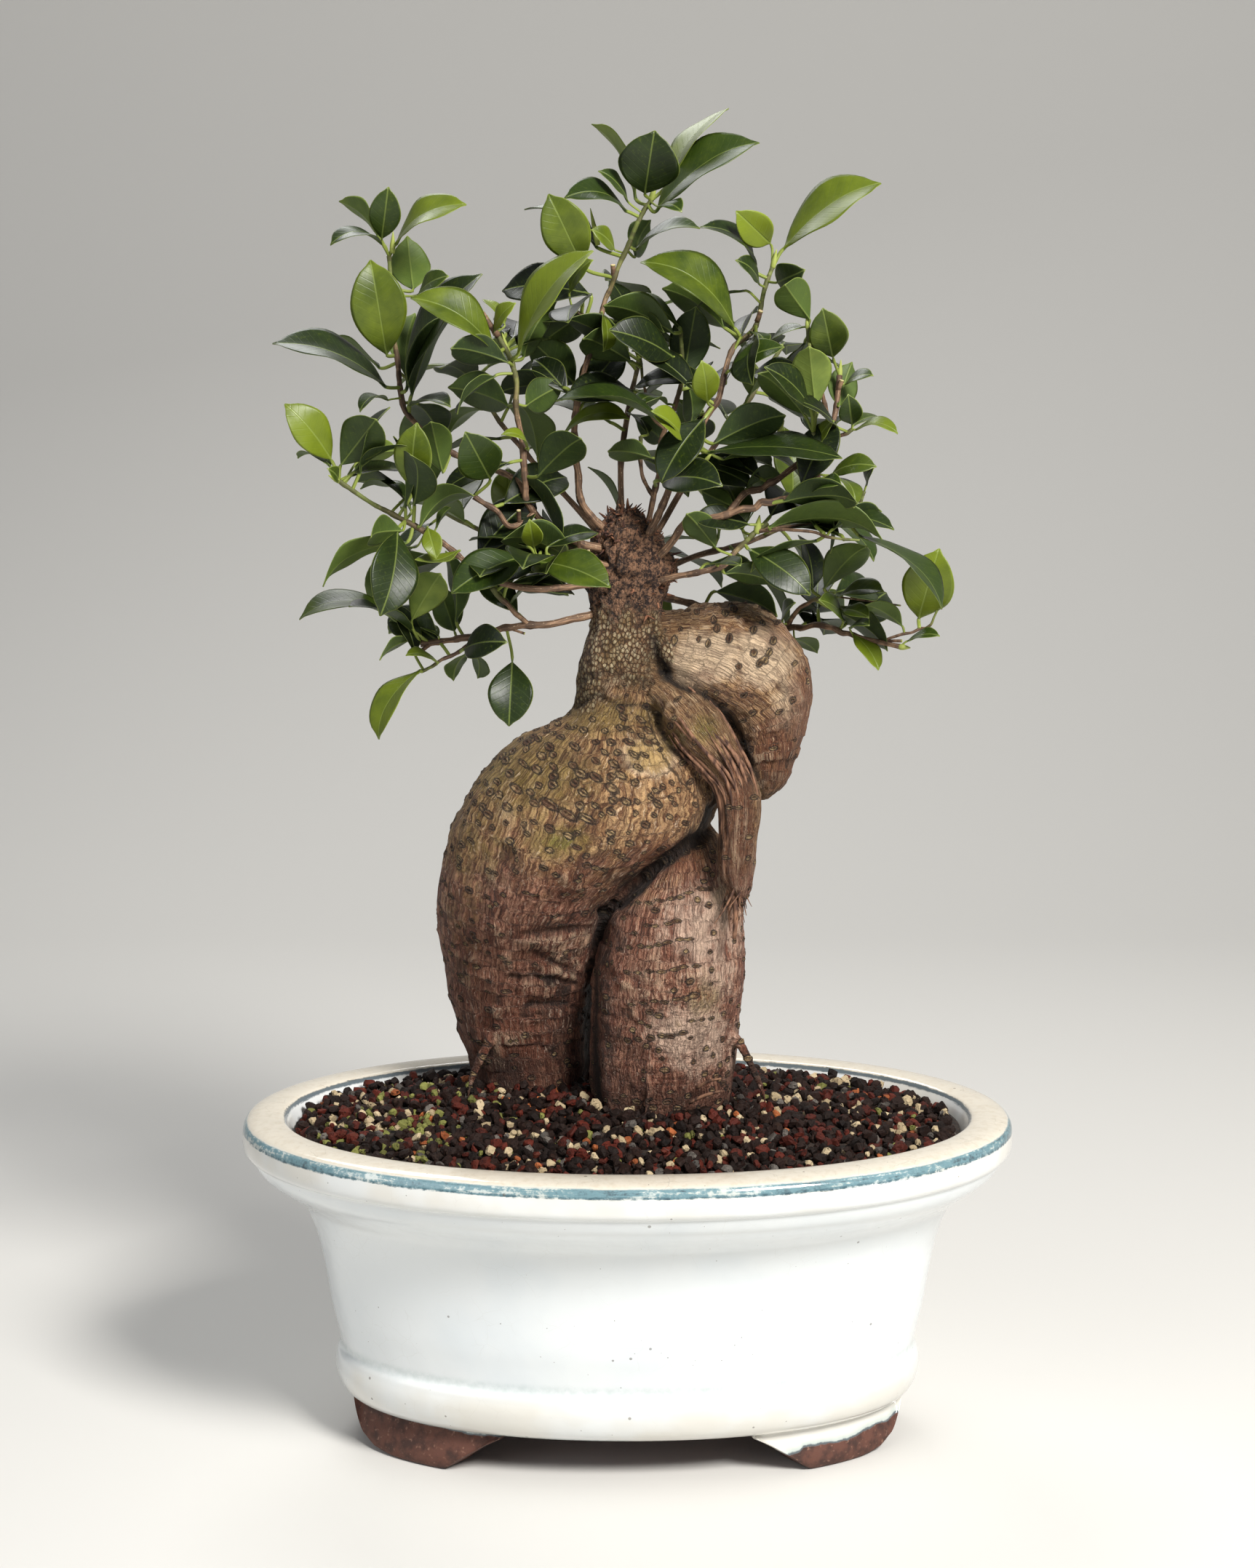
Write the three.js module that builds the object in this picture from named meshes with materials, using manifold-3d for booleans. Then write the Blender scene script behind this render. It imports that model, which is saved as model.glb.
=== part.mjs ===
import * as THREE from "three";
import Module from "manifold-3d";
import { mergeVertices } from "three/addons/utils/BufferGeometryUtils.js";

const wasm = await Module();
wasm.setup();

// A ficus ginseng bonsai in an oval glazed pot, in millimetres, +Z up, +X to the right, -Y to the front.
// The origin is under the pot's centre, on the surface that the feet stand on.

// Pot: an oval dish, half as long again as it is deep
const potHalfLength = 150.2;
const potHalfDepth = 96.5;
const ovalPower = 2.07;
const potSides = 32;
const lipHeight = 130.4;
const potFloor = 26;
const drainHoleRadius = 7.5;
const drainHoleX = 58;
const drainHoleSides = 16;

// Clearances between neighbouring pieces
const gap = 0.35;
const wallGap = 0.45;

// Soil, measured where it meets the pot and at the top of its mound
const soilEdgeHeight = 126;
const soilMound = 8;
const soilMoundReach = 0.86;

// Leaves and their stalks. The fit makes up for the few points of an outline, which lie at these shares of
// the length for a leaf of at least that length.
const leafThickness = 1.2;
const outlineFit = 1.07;
const leafRatio = 0.56;
const leafArch = 0.09;
const leafFold = 0.2;
const stalkRadius = 0.75;
const shortestStalk = 1.5;
const stalkSink = 0.8;
const leafPlaces = [
  { from: 38, places: [0.26, 0.58, 0.86] },
  { from: 15, places: [0.32, 0.72] },
  { from: 0, places: [0.55] },
];
const mainTwigSides = 5;
const sideTwigSides = 4;

// The tree is described as it is seen from the front: x across and z up on the plane y = 0,
// with the depth y given apart. This is the eye that sees it so.
const eye = new THREE.Vector3(0, -954.2, 410);

// Colours of the plain model
const glazeColour = 0xb9c6cb;
const soilColour = 0x3d332c;
const barkColour = 0xa08f78;
const leafColour = 0x42571f;
const meshColour = 0x2b2f2d;

// The point at depth y that is seen at (x, z) on the plane y = 0
function seen(x, z, y) {
  const k = (y - eye.y) / -eye.y;
  return new THREE.Vector3(x * k, y, eye.z + (z - eye.z) * k);
}

function randomFrom(seed) {
  let state = seed;
  return () => {
    state = (state * 1664525 + 1013904223) % 4294967296;
    return state / 4294967296;
  };
}

// A solid from points and triangles, with the faces turned outwards
function solid(points, triangles) {
  let volume = 0;
  for (const [a, b, c] of triangles) {
    volume += points[a].dot(new THREE.Vector3().crossVectors(points[b], points[c]));
  }
  const outward = volume > 0 ? triangles : triangles.map(([a, b, c]) => [a, c, b]);
  const vertProperties = new Float32Array(points.flatMap((p) => [p.x, p.y, p.z]));
  const triVerts = new Uint32Array(outward.flat());
  return new wasm.Manifold(new wasm.Mesh({ numProp: 3, vertProperties, triVerts }));
}

function solidFromGeometry(geometry) {
  geometry.deleteAttribute("normal");
  geometry.deleteAttribute("uv");
  const merged = mergeVertices(geometry, 1e-4);
  const vertProperties = new Float32Array(merged.attributes.position.array);
  const triVerts = new Uint32Array(merged.index.array);
  return new wasm.Manifold(new wasm.Mesh({ numProp: 3, vertProperties, triVerts }));
}

function geometryFromSolid(body) {
  const mesh = body.getMesh();
  const geometry = new THREE.BufferGeometry();
  geometry.setAttribute("position", new THREE.BufferAttribute(new Float32Array(mesh.vertProperties), 3));
  geometry.setIndex(new THREE.BufferAttribute(new Uint32Array(mesh.triVerts), 1));
  return geometry;
}

// A skin over rings with the same number of points each, closed over its first ring,
// and over its last one or up to a single point beyond it
function loft(rings, end = null) {
  const count = rings[0].length;
  const points = rings.flat();
  const triangles = [];
  for (let r = 0; r < rings.length - 1; r += 1) {
    for (let i = 0; i < count; i += 1) {
      const a = r * count + i;
      const b = r * count + ((i + 1) % count);
      triangles.push([a, b, b + count], [a, b + count, a + count]);
    }
  }
  const last = points.length - count;
  for (let i = 1; i < count - 1; i += 1) {
    triangles.push([0, i + 1, i]);
  }
  if (end) {
    points.push(end);
    for (let i = 0; i < count; i += 1) {
      triangles.push([last + i, last + ((i + 1) % count), points.length - 1]);
    }
  } else {
    for (let i = 1; i < count - 1; i += 1) {
      triangles.push([last, last + i, last + i + 1]);
    }
  }
  return solid(points, triangles);
}

// A tapering round stem along a path, with its ring frames carried along without twist
function stem(path, radii, sides) {
  let side = new THREE.Vector3(0.31, -0.9, 0.31);
  const rings = path.map((point, i) => {
    const before = path[Math.max(i - 1, 0)];
    const after = path[Math.min(i + 1, path.length - 1)];
    const along = after.clone().sub(before).normalize();
    side = side.clone().addScaledVector(along, -side.dot(along)).normalize();
    const up = new THREE.Vector3().crossVectors(along, side);
    return Array.from({ length: sides }, (_, k) => {
      const turn = (2 * Math.PI * k) / sides;
      return point.clone()
        .addScaledVector(side, radii[i] * Math.cos(turn))
        .addScaledVector(up, radii[i] * Math.sin(turn));
    });
  });
  return loft(rings);
}

// One oval of the pot: half-length a, the half-depth less by the same amount all round
function ovalPoint(a, turn, z) {
  const b = a - (potHalfLength - potHalfDepth);
  const c = Math.cos(turn);
  const s = Math.sin(turn);
  const power = 2 / ovalPower;
  return new THREE.Vector3(
    a * Math.sign(c) * Math.abs(c) ** power,
    b * Math.sign(s) * Math.abs(s) ** power,
    z,
  );
}

function oval(a, z, sides = potSides) {
  return Array.from({ length: sides }, (_, k) => ovalPoint(a, (2 * Math.PI * k) / sides, z));
}

// The pot's profile from under its foot ring up the outside, over the rim and down the inside:
// half-length and height
const potProfile = [
  [98, 15.5], [106.5, 16.5], [112.5, 19], [115.3, 24], [116, 30], [113.7, 37], [117, 53], [120.3, 74],
  [123.5, 87], [127.5, 98], [138.5, 106], [146.5, 112.5], [150, 118.5], [potHalfLength, 127.4],
  [134.5, lipHeight], [131.5, 126.5], [120.5, 98], [112, 62], [107, 34], [99, potFloor],
];

// Half-length of the pot's inner wall at a height
function innerWall(z) {
  const wall = potProfile.slice(-6);
  const i = wall.findIndex((row) => row[1] <= z);
  const [a1, z1] = wall[Math.max(i, 1)];
  const [a0, z0] = wall[Math.max(i, 1) - 1];
  return a0 + ((a1 - a0) * (z - z0)) / (z1 - z0);
}

// A cloud foot follows the oval under the belt: flat where it stands, its ends rising in soft curves.
// Along the foot, from -1 at its inner end to 1.3 at its outer end: the height of its lower edge.
const footEdge = [
  [-1, 15], [-0.87, 12], [-0.72, 8], [-0.57, 4], [-0.4, 0], [0.15, 0], [0.54, 1.5],
  [0.72, 3.4], [0.9, 5.8], [1.05, 9.5], [1.19, 14], [1.3, 18.5],
];
const footMiddleTurn = 0.7;
const footHalfTurn = 0.42;

// Through the foot, from the outside in: how far out the point lies, and how high
function foot(signX, signY) {
  const rings = footEdge.map(([place, low]) => {
    const turn = footMiddleTurn - place * footHalfTurn;
    const section = [
      [107.5, 24], [107.8, Math.max(15, low + 1)], [109.8, Math.max(7, low + 0.7)], [108.8, low],
      [96, low], [95, 24],
    ];
    return section.map(([a, z]) => {
      const p = ovalPoint(a, turn, z);
      return new THREE.Vector3(signX * p.x, signY * p.y, z);
    });
  });
  return loft(rings);
}

function makePot() {
  let body = loft(potProfile.map(([a, z]) => oval(a, z)));
  for (const signX of [-1, 1]) {
    for (const signY of [-1, 1]) {
      body = body.add(foot(signX, signY));
    }
  }
  for (const x of [-drainHoleX, drainHoleX]) {
    const hole = new THREE.CylinderGeometry(drainHoleRadius, drainHoleRadius, potFloor, drainHoleSides);
    hole.rotateX(Math.PI / 2);
    hole.translate(x, 0, potFloor);
    body = body.subtract(solidFromGeometry(hole));
  }
  return body;
}

// A square of plastic mesh lies over each drainage hole
const drainMeshSide = 24;
const drainMeshThickness = 1.1;
const drainMeshCells = 3;
const drainMeshBar = 1.6;

function makeDrainMesh() {
  let body = solidFromGeometry(new THREE.BoxGeometry(drainMeshSide, drainMeshSide, drainMeshThickness));
  const pitch = (drainMeshSide - drainMeshBar) / drainMeshCells;
  const hole = pitch - drainMeshBar;
  for (let i = 0; i < drainMeshCells; i += 1) {
    for (let j = 0; j < drainMeshCells; j += 1) {
      const cell = new THREE.BoxGeometry(hole, hole, drainMeshThickness * 2);
      const first = (pitch - drainMeshSide + drainMeshBar) / 2;
      cell.translate(first + i * pitch, first + j * pitch, 0);
      body = body.subtract(solidFromGeometry(cell));
    }
  }
  return body;
}

const bodySides = 15;
const legSides = 12;
const stumpSides = 12;
const bulbSides = 12;
const hangingRootSides = 8;
const rootletSides = 4;

// Level sections through the left leg, the belly and the neck, as they are seen:
// height, left side, right side, depth of the middle, half-thickness from front to back
const bodySections = [
  [72, -43, -31, 40, 5], [100, -50, -24, 40, 13], [128, -57, -17, 40, 19],
  [150, -61.5, -13.5, 38, 22.5], [163, -66, -12.5, 36, 25], [177, -69.5, -11.5, 32, 27],
  [195, -72.2, -9.5, 25, 29], [208, -73.5, -8, 18, 31],
  [221, -72.5, 0, 11, 34], [232, -71, 14.5, 6, 35.5], [241.5, -69, 30, 3, 35.5], [250, -65.5, 34, 1, 34],
  [258, -61, 34.5, 0, 32], [266, -54.5, 32.5, 0, 29.5], [273, -47.5, 27, 0, 26], [279, -39, 21, 0, 22],
  [284, -28.5, 17.5, 0, 17.5], [290, -21, 14, 0, 14.5], [302, -19.5, 10.5, 0, 13.5], [312, -17, 12, 0, 13.5],
  [322, -13.5, 13.5, 0, 12.5], [331, -12, 11.5, 0, 11.5],
];

// The right leg, in the same terms
const legSections = [
  [70, 8, 18, 9, 5], [98, 0, 29, 9, 14], [118, -8, 36, 9, 21], [133, -13.5, 40, 8, 25],
  [150, -15, 42.2, 7, 26.5],
  [170, -14.5, 43.7, 6, 27], [186, -13.5, 45.7, 5, 26.5], [197, -11, 45.3, 5, 26], [208, -7.5, 44, 5, 25],
  [217, -2, 43, 5, 23], [226, 6, 40.5, 6, 20], [236, 12, 36.5, 7, 15], [247, 15, 30, 8, 8],
];

// The stump over the neck
const stumpSections = [
  [322, -12, 11, 0, 11], [334, -13, 13, 1, 12], [342, -14, 17, 1, 13], [349, -13, 14.5, 1, 12.5],
  [356, -10.5, 10, 1, 10.5], [361.5, -6.5, 5.5, 1, 7], [364.5, -3, 2, 1, 3],
];

// The bulb that swells out of the neck to the right and turns down into a tail:
// middle x and z, half-width across its path in the view, depth of the middle, half-thickness
const bulbSections = [
  [2, 314, 8, 2, 8], [10, 314, 11.5, 3, 12], [20, 312, 15.3, 4, 17], [31, 309.5, 20, 5, 20],
  [42, 306, 22.5, 6, 22],
  [50, 298.5, 21, 7, 21], [53.3, 287, 16.8, 7, 17], [53.9, 274, 12.8, 6, 12.5], [53.2, 262, 7.6, 4, 7.5],
  [51.5, 254.5, 2, 3, 2.5],
];

// The root that hangs over the bulb, and the rootlets: middle x and z, depth, radius
const hangingRoot = [
  [8, 300, -3, 6], [16, 295, -7, 8], [22.5, 287, -10, 9.8], [28.5, 279, -12, 10.4], [35.5, 270, -14, 9],
  [40.5, 262, -16, 8], [43, 252, -17, 7.8], [42.5, 240, -18, 6.9], [42, 228, -18, 6.2],
  [43.5, 220, -18, 4], [43.8, 212, -18, 1.5],
];
const rootlets = [
  [[40, 222, -18, 1.1], [42, 210, -21, 1], [41.5, 199, -23.5, 0.8]],
  [[38, 164, -4, 1.8], [44.5, 156, -5, 1.5], [49.5, 146, -6, 1.3], [53.5, 136, -6, 1], [55, 126, -6, 0.8]],
  [[8, 148, -17, 1.6], [8.5, 139, -20, 1.3], [7.3, 130, -22, 1.1], [6, 122, -23, 0.8]],
  [[-50, 166, 14, 1.8], [-55, 156, 12, 1.5], [-60, 146, 12, 1.3], [-63, 134, 13, 0.9]],
];

// The swelling of the bark round a section: shallow buttresses that run along the limb
function buttress(turn, z, seed, depth) {
  const broad = Math.sin(3 * turn + seed + z * 0.021);
  const narrow = Math.sin(5 * turn - seed * 2 - z * 0.034);
  return 1 + depth * (broad + 0.6 * narrow);
}

function levelRings(sections, sides, seed, depth) {
  return sections.map(([z, left, right, y, thick]) => {
    const middle = seen((left + right) / 2, z, y);
    const half = ((right - left) / 2) * ((y - eye.y) / -eye.y);
    return Array.from({ length: sides }, (_, k) => {
      const turn = (2 * Math.PI * k) / sides;
      const swell = buttress(turn, z, seed, depth * Math.abs(Math.sin(turn)));
      return new THREE.Vector3(
        middle.x + half * Math.cos(turn) * swell,
        middle.y + thick * Math.sin(turn) * swell,
        middle.z,
      );
    });
  });
}

// Rings square to a path that lies in the view
function bentRings(sections, sides) {
  return sections.map(([x, z, half, y, thick], i) => {
    const before = sections[Math.max(i - 1, 0)];
    const after = sections[Math.min(i + 1, sections.length - 1)];
    const across = new THREE.Vector3(before[1] - after[1], 0, after[0] - before[0]).normalize();
    const middle = seen(x, z, y);
    return Array.from({ length: sides }, (_, k) => {
      const turn = (2 * Math.PI * k) / sides;
      return middle.clone()
        .addScaledVector(across, half * Math.cos(turn))
        .add(new THREE.Vector3(0, thick * Math.sin(turn), 0));
    });
  });
}

function makeRoot(rows, sides) {
  return stem(rows.map(([x, z, y]) => seen(x, z, y)), rows.map((row) => row[3]), sides);
}

function makeTrunk() {
  let body = loft(levelRings(bodySections, bodySides, 0.6, 0.035));
  body = body.add(loft(levelRings(legSections, legSides, 2.1, 0.045)));
  body = body.add(loft(levelRings(stumpSections, stumpSides, 4.2, 0.12)));
  body = body.add(loft(bentRings(bulbSections, bulbSides)));
  body = body.add(makeRoot(hangingRoot, hangingRootSides));
  for (const root of rootlets) {
    body = body.add(makeRoot(root, rootletSides));
  }
  return body;
}

// The soil fills the pot: the top is a mound with shallow humps, the side follows the pot's inner wall
function soilTop(x, y) {
  const out = Math.hypot(x / potHalfLength, y / potHalfDepth);
  const mound = soilMound * Math.max(0, 1 - (out / soilMoundReach) ** 2);
  const humps = 0.9 * Math.sin(x * 0.21 + 1.3) * Math.cos(y * 0.24 - 0.4);
  const ripples = 0.6 * Math.sin(x * 0.43 + y * 0.37);
  return soilEdgeHeight + mound + humps + ripples;
}

function makeSoil() {
  const shells = [0.95, 0.8, 0.64, 0.48, 0.32, 0.16];
  const wall = potProfile.slice(-5).reverse();
  const heights = [potFloor + gap, ...wall.slice(1, -1).map((row) => row[1]), soilEdgeHeight - 1.5];
  const rings = heights.map((z) => oval(innerWall(z) - wallGap, z));
  const rimHalf = innerWall(soilEdgeHeight - 1.5) - wallGap;
  for (const share of shells) {
    rings.push(oval(rimHalf, 0).map((p) => {
      const x = p.x * share;
      const y = p.y * share;
      return new THREE.Vector3(x, y, soilTop(x, y));
    }));
  }
  let body = loft(rings);
  body = body.subtract(loft(levelRings(growSections(bodySections), bodySides, 0.6, 0.035)));
  body = body.subtract(loft(levelRings(growSections(legSections), legSides, 2.1, 0.045)));
  for (const root of rootlets) {
    const path = root.map(([x, z, y]) => seen(x, z, y));
    path.push(path.at(-1).clone().add(new THREE.Vector3(0, 0, -gap)));
    const radii = root.map((row) => row[3] + gap * 1.5);
    body = body.subtract(stem(path, [...radii, radii.at(-1)], rootletSides));
  }
  for (const x of [-drainHoleX, drainHoleX]) {
    const side = drainMeshSide + 2 * gap;
    const recess = new THREE.BoxGeometry(side, side, 2 * (drainMeshThickness + 2 * gap));
    recess.translate(x, 0, potFloor);
    body = body.subtract(solidFromGeometry(recess));
  }
  return body;
}

// The same sections with the clearance added all round, for the plain hole that a leg stands in
// and for the stems that start at the bark
function growSections(sections) {
  const clear = gap * 1.6;
  const ends = { 0: -clear, [sections.length - 1]: clear };
  return sections.map(([z, left, right, y, thick], i) => [
    z + (ends[i] ?? 0), left - clear, right + clear, y, thick + clear,
  ]);
}

// Leafy stems as they are seen. A path is a list of x, z and depth y, from the trunk out, with the radius
// at its two ends. A leaf is x, z and depth of its base, the same of its tip, the width that is seen,
// 1 where its upper face is seen or -1 where its underside is, and its arch where that isn't the common one.
const sprays = {
  upper_left: {
    paths: [
      {
        ends: [2.6, 1.3],
        points: [
          [-7, 350, -4], [-12, 351, -7], [-22, 354, -12], [-33, 361, -17], [-38.5, 371, -20],
          [-39, 388, -20], [-42, 403, -20], [-42, 416, -20], [-46, 425, -19], [-49, 431, -18],
        ],
      },
      {
        ends: [2, 1.2],
        points: [
          [-38.2, 370, -19], [-43.5, 377, -14], [-56, 382, -6], [-68, 387, -2], [-77, 395, 0],
          [-84.5, 405, 2], [-86, 420, 4], [-88, 440, 6], [-88.8, 459, 8],
        ],
      },
      { ends: [1.9, 1.5], points: [[-35, 364, -18], [-43, 358.5, -24], [-50, 364, -26], [-58, 370, -27]] },
    ],
    leaves: [
      [-90.3, 423, 3, -95.7, 458, -6, 21, 1],
      [-91, 411, 0, -133, 427, -8, 10, 1, 0.12],
      [-93, 418, 8, -113, 426.5, 24, 4, -1],
      [-83, 415, 8, -80, 438, 22, 12, -1],
      [-83, 410, -2, -54.5, 453, -8, 10, 1],
      [-90, 406, -2, -101, 402, -14, 3, 1, 0.2],
      [-91.4, 465.5, 4, -88.7, 484.2, -6, 12, 1],
      [-92.7, 466.3, 10, -106.6, 479.5, 22, 6, -1],
      [-91.4, 463.5, 5, -110.9, 463.6, -8, 3, 1, 0.2],
      [-86, 463.6, 6, -59.8, 477.9, -4, 8, 1, 0.16],
      [-80, 447, 10, -82, 466, 26, 15.5, -1],
      [-78, 445, 4, -67, 452, -8, 6, 1],
      [-50, 424, -24, -81, 444, -32, 12, 1, 0.14],
      [-70, 379.5, -6, -74, 398, -18, 13, -1],
      [-82, 404, -2, -66.5, 404.5, -16, 3, 1],
      [-41, 423, -25, -13.5, 462, -34, 11, 1],
      [-39, 422, -14, -27, 443, 2, 12, -1],
      [-50, 431, -19, -42, 442, -28, 5, 1],
      [-46, 434, -17, -54, 443.5, -8, 4, 1],
      [-37.5, 388, -22, -47.5, 393.5, -30, 3, 1, 0.2],
      [-33.5, 378, -26, -17, 392.5, -44, 15, -1],
      [-52, 377, -32, -61, 394, -50, 17, 1],
      [-45, 404, -14, -67, 411, 2, 14, -1],
      [-38, 404, -16, -24, 412, 2, 13, -1],
    ],
  },
  mid_left: {
    paths: [
      {
        ends: [2.4, 1.2],
        points: [
          [-8, 337, -4], [-14, 337, -8], [-27, 335, -15], [-45, 336.5, -23], [-60, 344, -28],
          [-72, 354, -31], [-84, 361, -33], [-95, 366.5, -33], [-105, 373, -34], [-109, 376, -34],
        ],
      },
    ],
    leaves: [
      [-112, 384, -34, -128.5, 405, -44, 14, 1],
      [-108, 382, -36, -94.5, 399, -52, 17, -1],
      [-112, 381, -34, -124.5, 385, -22, 3, 1, 0.16],
      [-109.5, 376, -37, -113, 380.5, -46, 4, 1],
      [-103, 379, -28, -95, 385, -14, 7, -1],
      [-100, 384, -26, -86.5, 387, -12, 8, -1],
      [-84, 372, -24, -102.5, 375.5, -12, 5, -1],
      [-82, 365, -30, -101, 373, -22, 3, 1, 0.24],
      [-81, 373, -34, -79.5, 397.5, -44, 14, 1],
      [-78.5, 359, -35, -57.5, 371.5, -44, 8, -1, 0.2],
      [-75.5, 358, -37, -72.5, 346.5, -44, 7.5, 1],
      [-64, 349.5, -34, -80.5, 346.5, -44, 4, 1, -0.12],
      [-85.5, 357, -38, -98, 355, -58, 11, -1],
      [-84, 352.5, -34, -117.5, 337, -44, 8, -1, 0.14],
      [-80, 351, -28, -88, 346, -16, 3, -1],
      [-72.5, 358, -28, -67, 366, -20, 3, -1],
      [-68, 346, -22, -99.5, 331.5, -2, 13, -1],
    ],
  },
  low_left: {
    paths: [
      {
        ends: [2.6, 1.6],
        points: [
          [-9, 327, -1], [-15, 325, -3], [-30, 321.5, -8], [-42, 320.5, -10], [-50, 319, -10],
          [-62, 316, -10], [-70, 315, -11], [-79, 314, -12],
        ],
      },
      {
        ends: [1.3, 0.9],
        points: [
          [-57, 317.5, -10], [-64, 311, -14], [-73, 306, -18], [-78.5, 303.5, -19],
        ],
      },
      {
        ends: [1.6, 1.3],
        points: [
          [-37, 320.8, -9], [-43, 326, -12], [-47, 330, -14], [-51.5, 335.5, -16],
        ],
      },
    ],
    leaves: [
      [-88, 323, -14, -126, 325, -20, 6.5, 1, 0.17],
      [-87, 325.5, -9, -97.5, 330.5, 8, 3, 1],
      [-82, 323.5, -17, -71, 341, -30, 14, -1],
      [-82, 316, -14, -95, 308, -26, 4, -1],
      [-80, 320, -8, -91, 318, 6, 5, -1],
      [-66, 319, -5, -72, 336, 8, 12, -1],
      [-62, 312, -19, -46.5, 315, -38, 12, 1],
      [-62, 310, -8, -67, 300.5, 4, 6, -1],
      [-58, 310, -6, -57, 301, 8, 7, -1],
      [-44, 307, -16, -45.5, 282.3, -26, 17, 1],
      [-72.5, 307, -20, -84.5, 310.3, -30, 3, 1],
      [-79.5, 303.5, -20, -97, 277.5, -30, 9, 1, 0.12],
      [-72, 317, -12, -79, 320, -2, 3, 1],
    ],
  },
  front_left: {
    paths: [
      {
        ends: [1.9, 1.3],
        points: [
          [-6, 344, -8], [-10, 344.5, -12], [-18, 345, -20], [-27, 345, -29], [-34, 346.5, -34],
        ],
      },
    ],
    leaves: [
      [-40, 347, -38, -67, 333.5, -54, 15, 1],
      [-33, 345, -39, -6.5, 335.8, -54, 13.5, 1],
      [-35.5, 351, -36, -37, 361, -46, 8, 1],
      [-30, 351, -30, -11, 356.5, -20, 7.5, 1],
      [-38, 351, -30, -60, 353.5, -20, 3, 1],
    ],
  },
  top: {
    paths: [
      {
        ends: [2.6, 1.2],
        points: [
          [-5, 354, 0], [-9, 358, -3], [-17, 367, -6], [-19, 380, -6], [-20, 395, -5], [-17, 415, -3],
          [-11, 434, 0], [-7.5, 446, 2], [-3, 456, 2], [2, 467, 3], [5, 474, 3], [9, 479.5, 3],
        ],
      },
      { ends: [1.2, 0.9], points: [[-11.5, 432, 0], [-16, 437, -4], [-21, 441, -6]] },
    ],
    leaves: [
      [6.4, 482, 0, 10, 504.5, -14, 23, 1],
      [14, 484, 4, 37, 513, 12, 7, 1],
      [10.8, 475.5, -2, 48.3, 502, -10, 12, 1],
      [3, 480, 8, -12, 508, 18, 5, -1],
      [0, 479, 0, -10.4, 490.5, -8, 4, 1],
      [-0.7, 475.5, 1, -23.5, 480.5, -14, 7, 1, 0.18],
      [12, 477, -6, 20, 476, -20, 4, 1],
      [-17, 456, -3, -29.3, 481.7, -14, 18, 1],
      [-11.5, 462.3, 5, -38.3, 477.5, 12, 6, 1, 0.14],
      [-21.5, 446, -7, -13.5, 458, -18, 6, 1],
      [-5, 461.5, 3, -13, 469, -8, 6, 1],
      [3.5, 461.5, 2, 27, 469.5, -8, 4, 1, 0.14],
      [3, 459, 8, 8, 472, 24, 9, -1],
      [-24, 393.5, -14, 1, 400, -22, 6.5, 1, 0.17],
      [-20, 412, 5, -37, 429, 20, 16, -1],
      [-15, 421, 6, -4, 436, 22, 13, -1],
      [-9.5, 438, -5, -8.5, 424, -14, 5, 1],
    ],
  },
  centre: {
    paths: [
      {
        ends: [2, 1.1],
        points: [
          [4, 352, 2], [7.5, 359, 4], [11, 376, 6], [13.5, 392, 6], [18, 404, 5], [20.5, 414, 3],
          [20, 431, 0],
        ],
      },
      { ends: [1.2, 1.1], points: [[9.7, 370, 5], [5.5, 378, 9], [5, 392.5, 9]] },
      { ends: [0.9, 0.8], points: [[14, 395, 6], [8, 402, 7], [6.3, 412, 7], [4.8, 421.5, 6]] },
    ],
    leaves: [
      [17, 431, -3, -9, 441, -14, 14, -1, 0.14],
      [19, 433, 3, -9, 442, 12, 4, 1, 0.18],
      [16.5, 422, -4, -7, 432, -22, 14, 1],
      [9, 384.5, 5, -7.5, 387, -6, 9, -1],
      [13, 391, 10, 3, 399, 24, 10, -1],
      [15, 404.5, 1, 2, 403, -12, 3, 1, 0.2],
      [13, 376, -14, 35.5, 375, -36, 13.5, 1],
    ],
  },
  upper_right: {
    paths: [
      {
        ends: [2.6, 1.2],
        points: [
          [4, 349, -5], [8.5, 356, -8], [14, 368, -10], [18.5, 380, -12], [24, 389, -13], [30, 400, -12],
          [35, 409, -10], [38, 420, -6], [41, 427, -2], [48, 433.5, 2], [51, 446.5, 4], [54, 455, 6],
        ],
      },
    ],
    leaves: [
      [58.5, 462, 7, 93.7, 487, -2, 14, 1],
      [53, 463.7, 6, 40.3, 475.5, -8, 13, 1],
      [48, 453, 4, 27, 470, -6, 4, 1, 0.2],
      [49, 449, 1, 41, 458, -12, 5, 1],
      [56, 449.5, 0, 66, 454, -18, 12, 1],
      [46, 431, -2, 52, 427, -14, 3, 1],
      [38.5, 417, -12, 58.7, 426, -20, 8, 1],
      [30, 405.5, -16, 28, 420.5, -28, 10.5, 1],
      [39.5, 433, -3, 5, 458.5, -14, 15, 1, 0.16],
      [36, 433, 4, 13.5, 448, 16, 12, -1],
      [20, 391.5, -18, -27, 407, -34, 4, 1, 0.12],
      [21, 391, -15, 9, 402, -30, 7, 1],
      [25, 391.5, -10, 28, 399.5, 6, 6, 1],
      [33, 390, -17, 60, 401.5, -24, 15, -1],
      [31, 386.5, -20, 81, 384.5, -34, 8.5, 1, 0.06],
      [36, 384, -8, 54.5, 381.5, 8, 5, -1],
      [24, 397, -6, 22, 414, 10, 10, -1],
    ],
  },
  mid_right: {
    paths: [
      {
        ends: [2.6, 1.5],
        points: [
          [5, 343, -4], [10, 346, -8], [17, 353, -14], [23, 360.5, -19], [35, 363, -22],
          [45, 365.5, -22], [52, 367, -22], [60, 369.5, -22], [66, 372, -21], [71, 376, -19],
          [73, 385, -14], [76, 393, -8], [78.5, 404, -4], [79.5, 415, 0],
        ],
      },
      { ends: [1.5, 1.1], points: [[76.5, 395, -7], [73.5, 408, -10], [69, 420, -11], [67.5, 433, -11]] },
      {
        ends: [1.9, 1.8],
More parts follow.
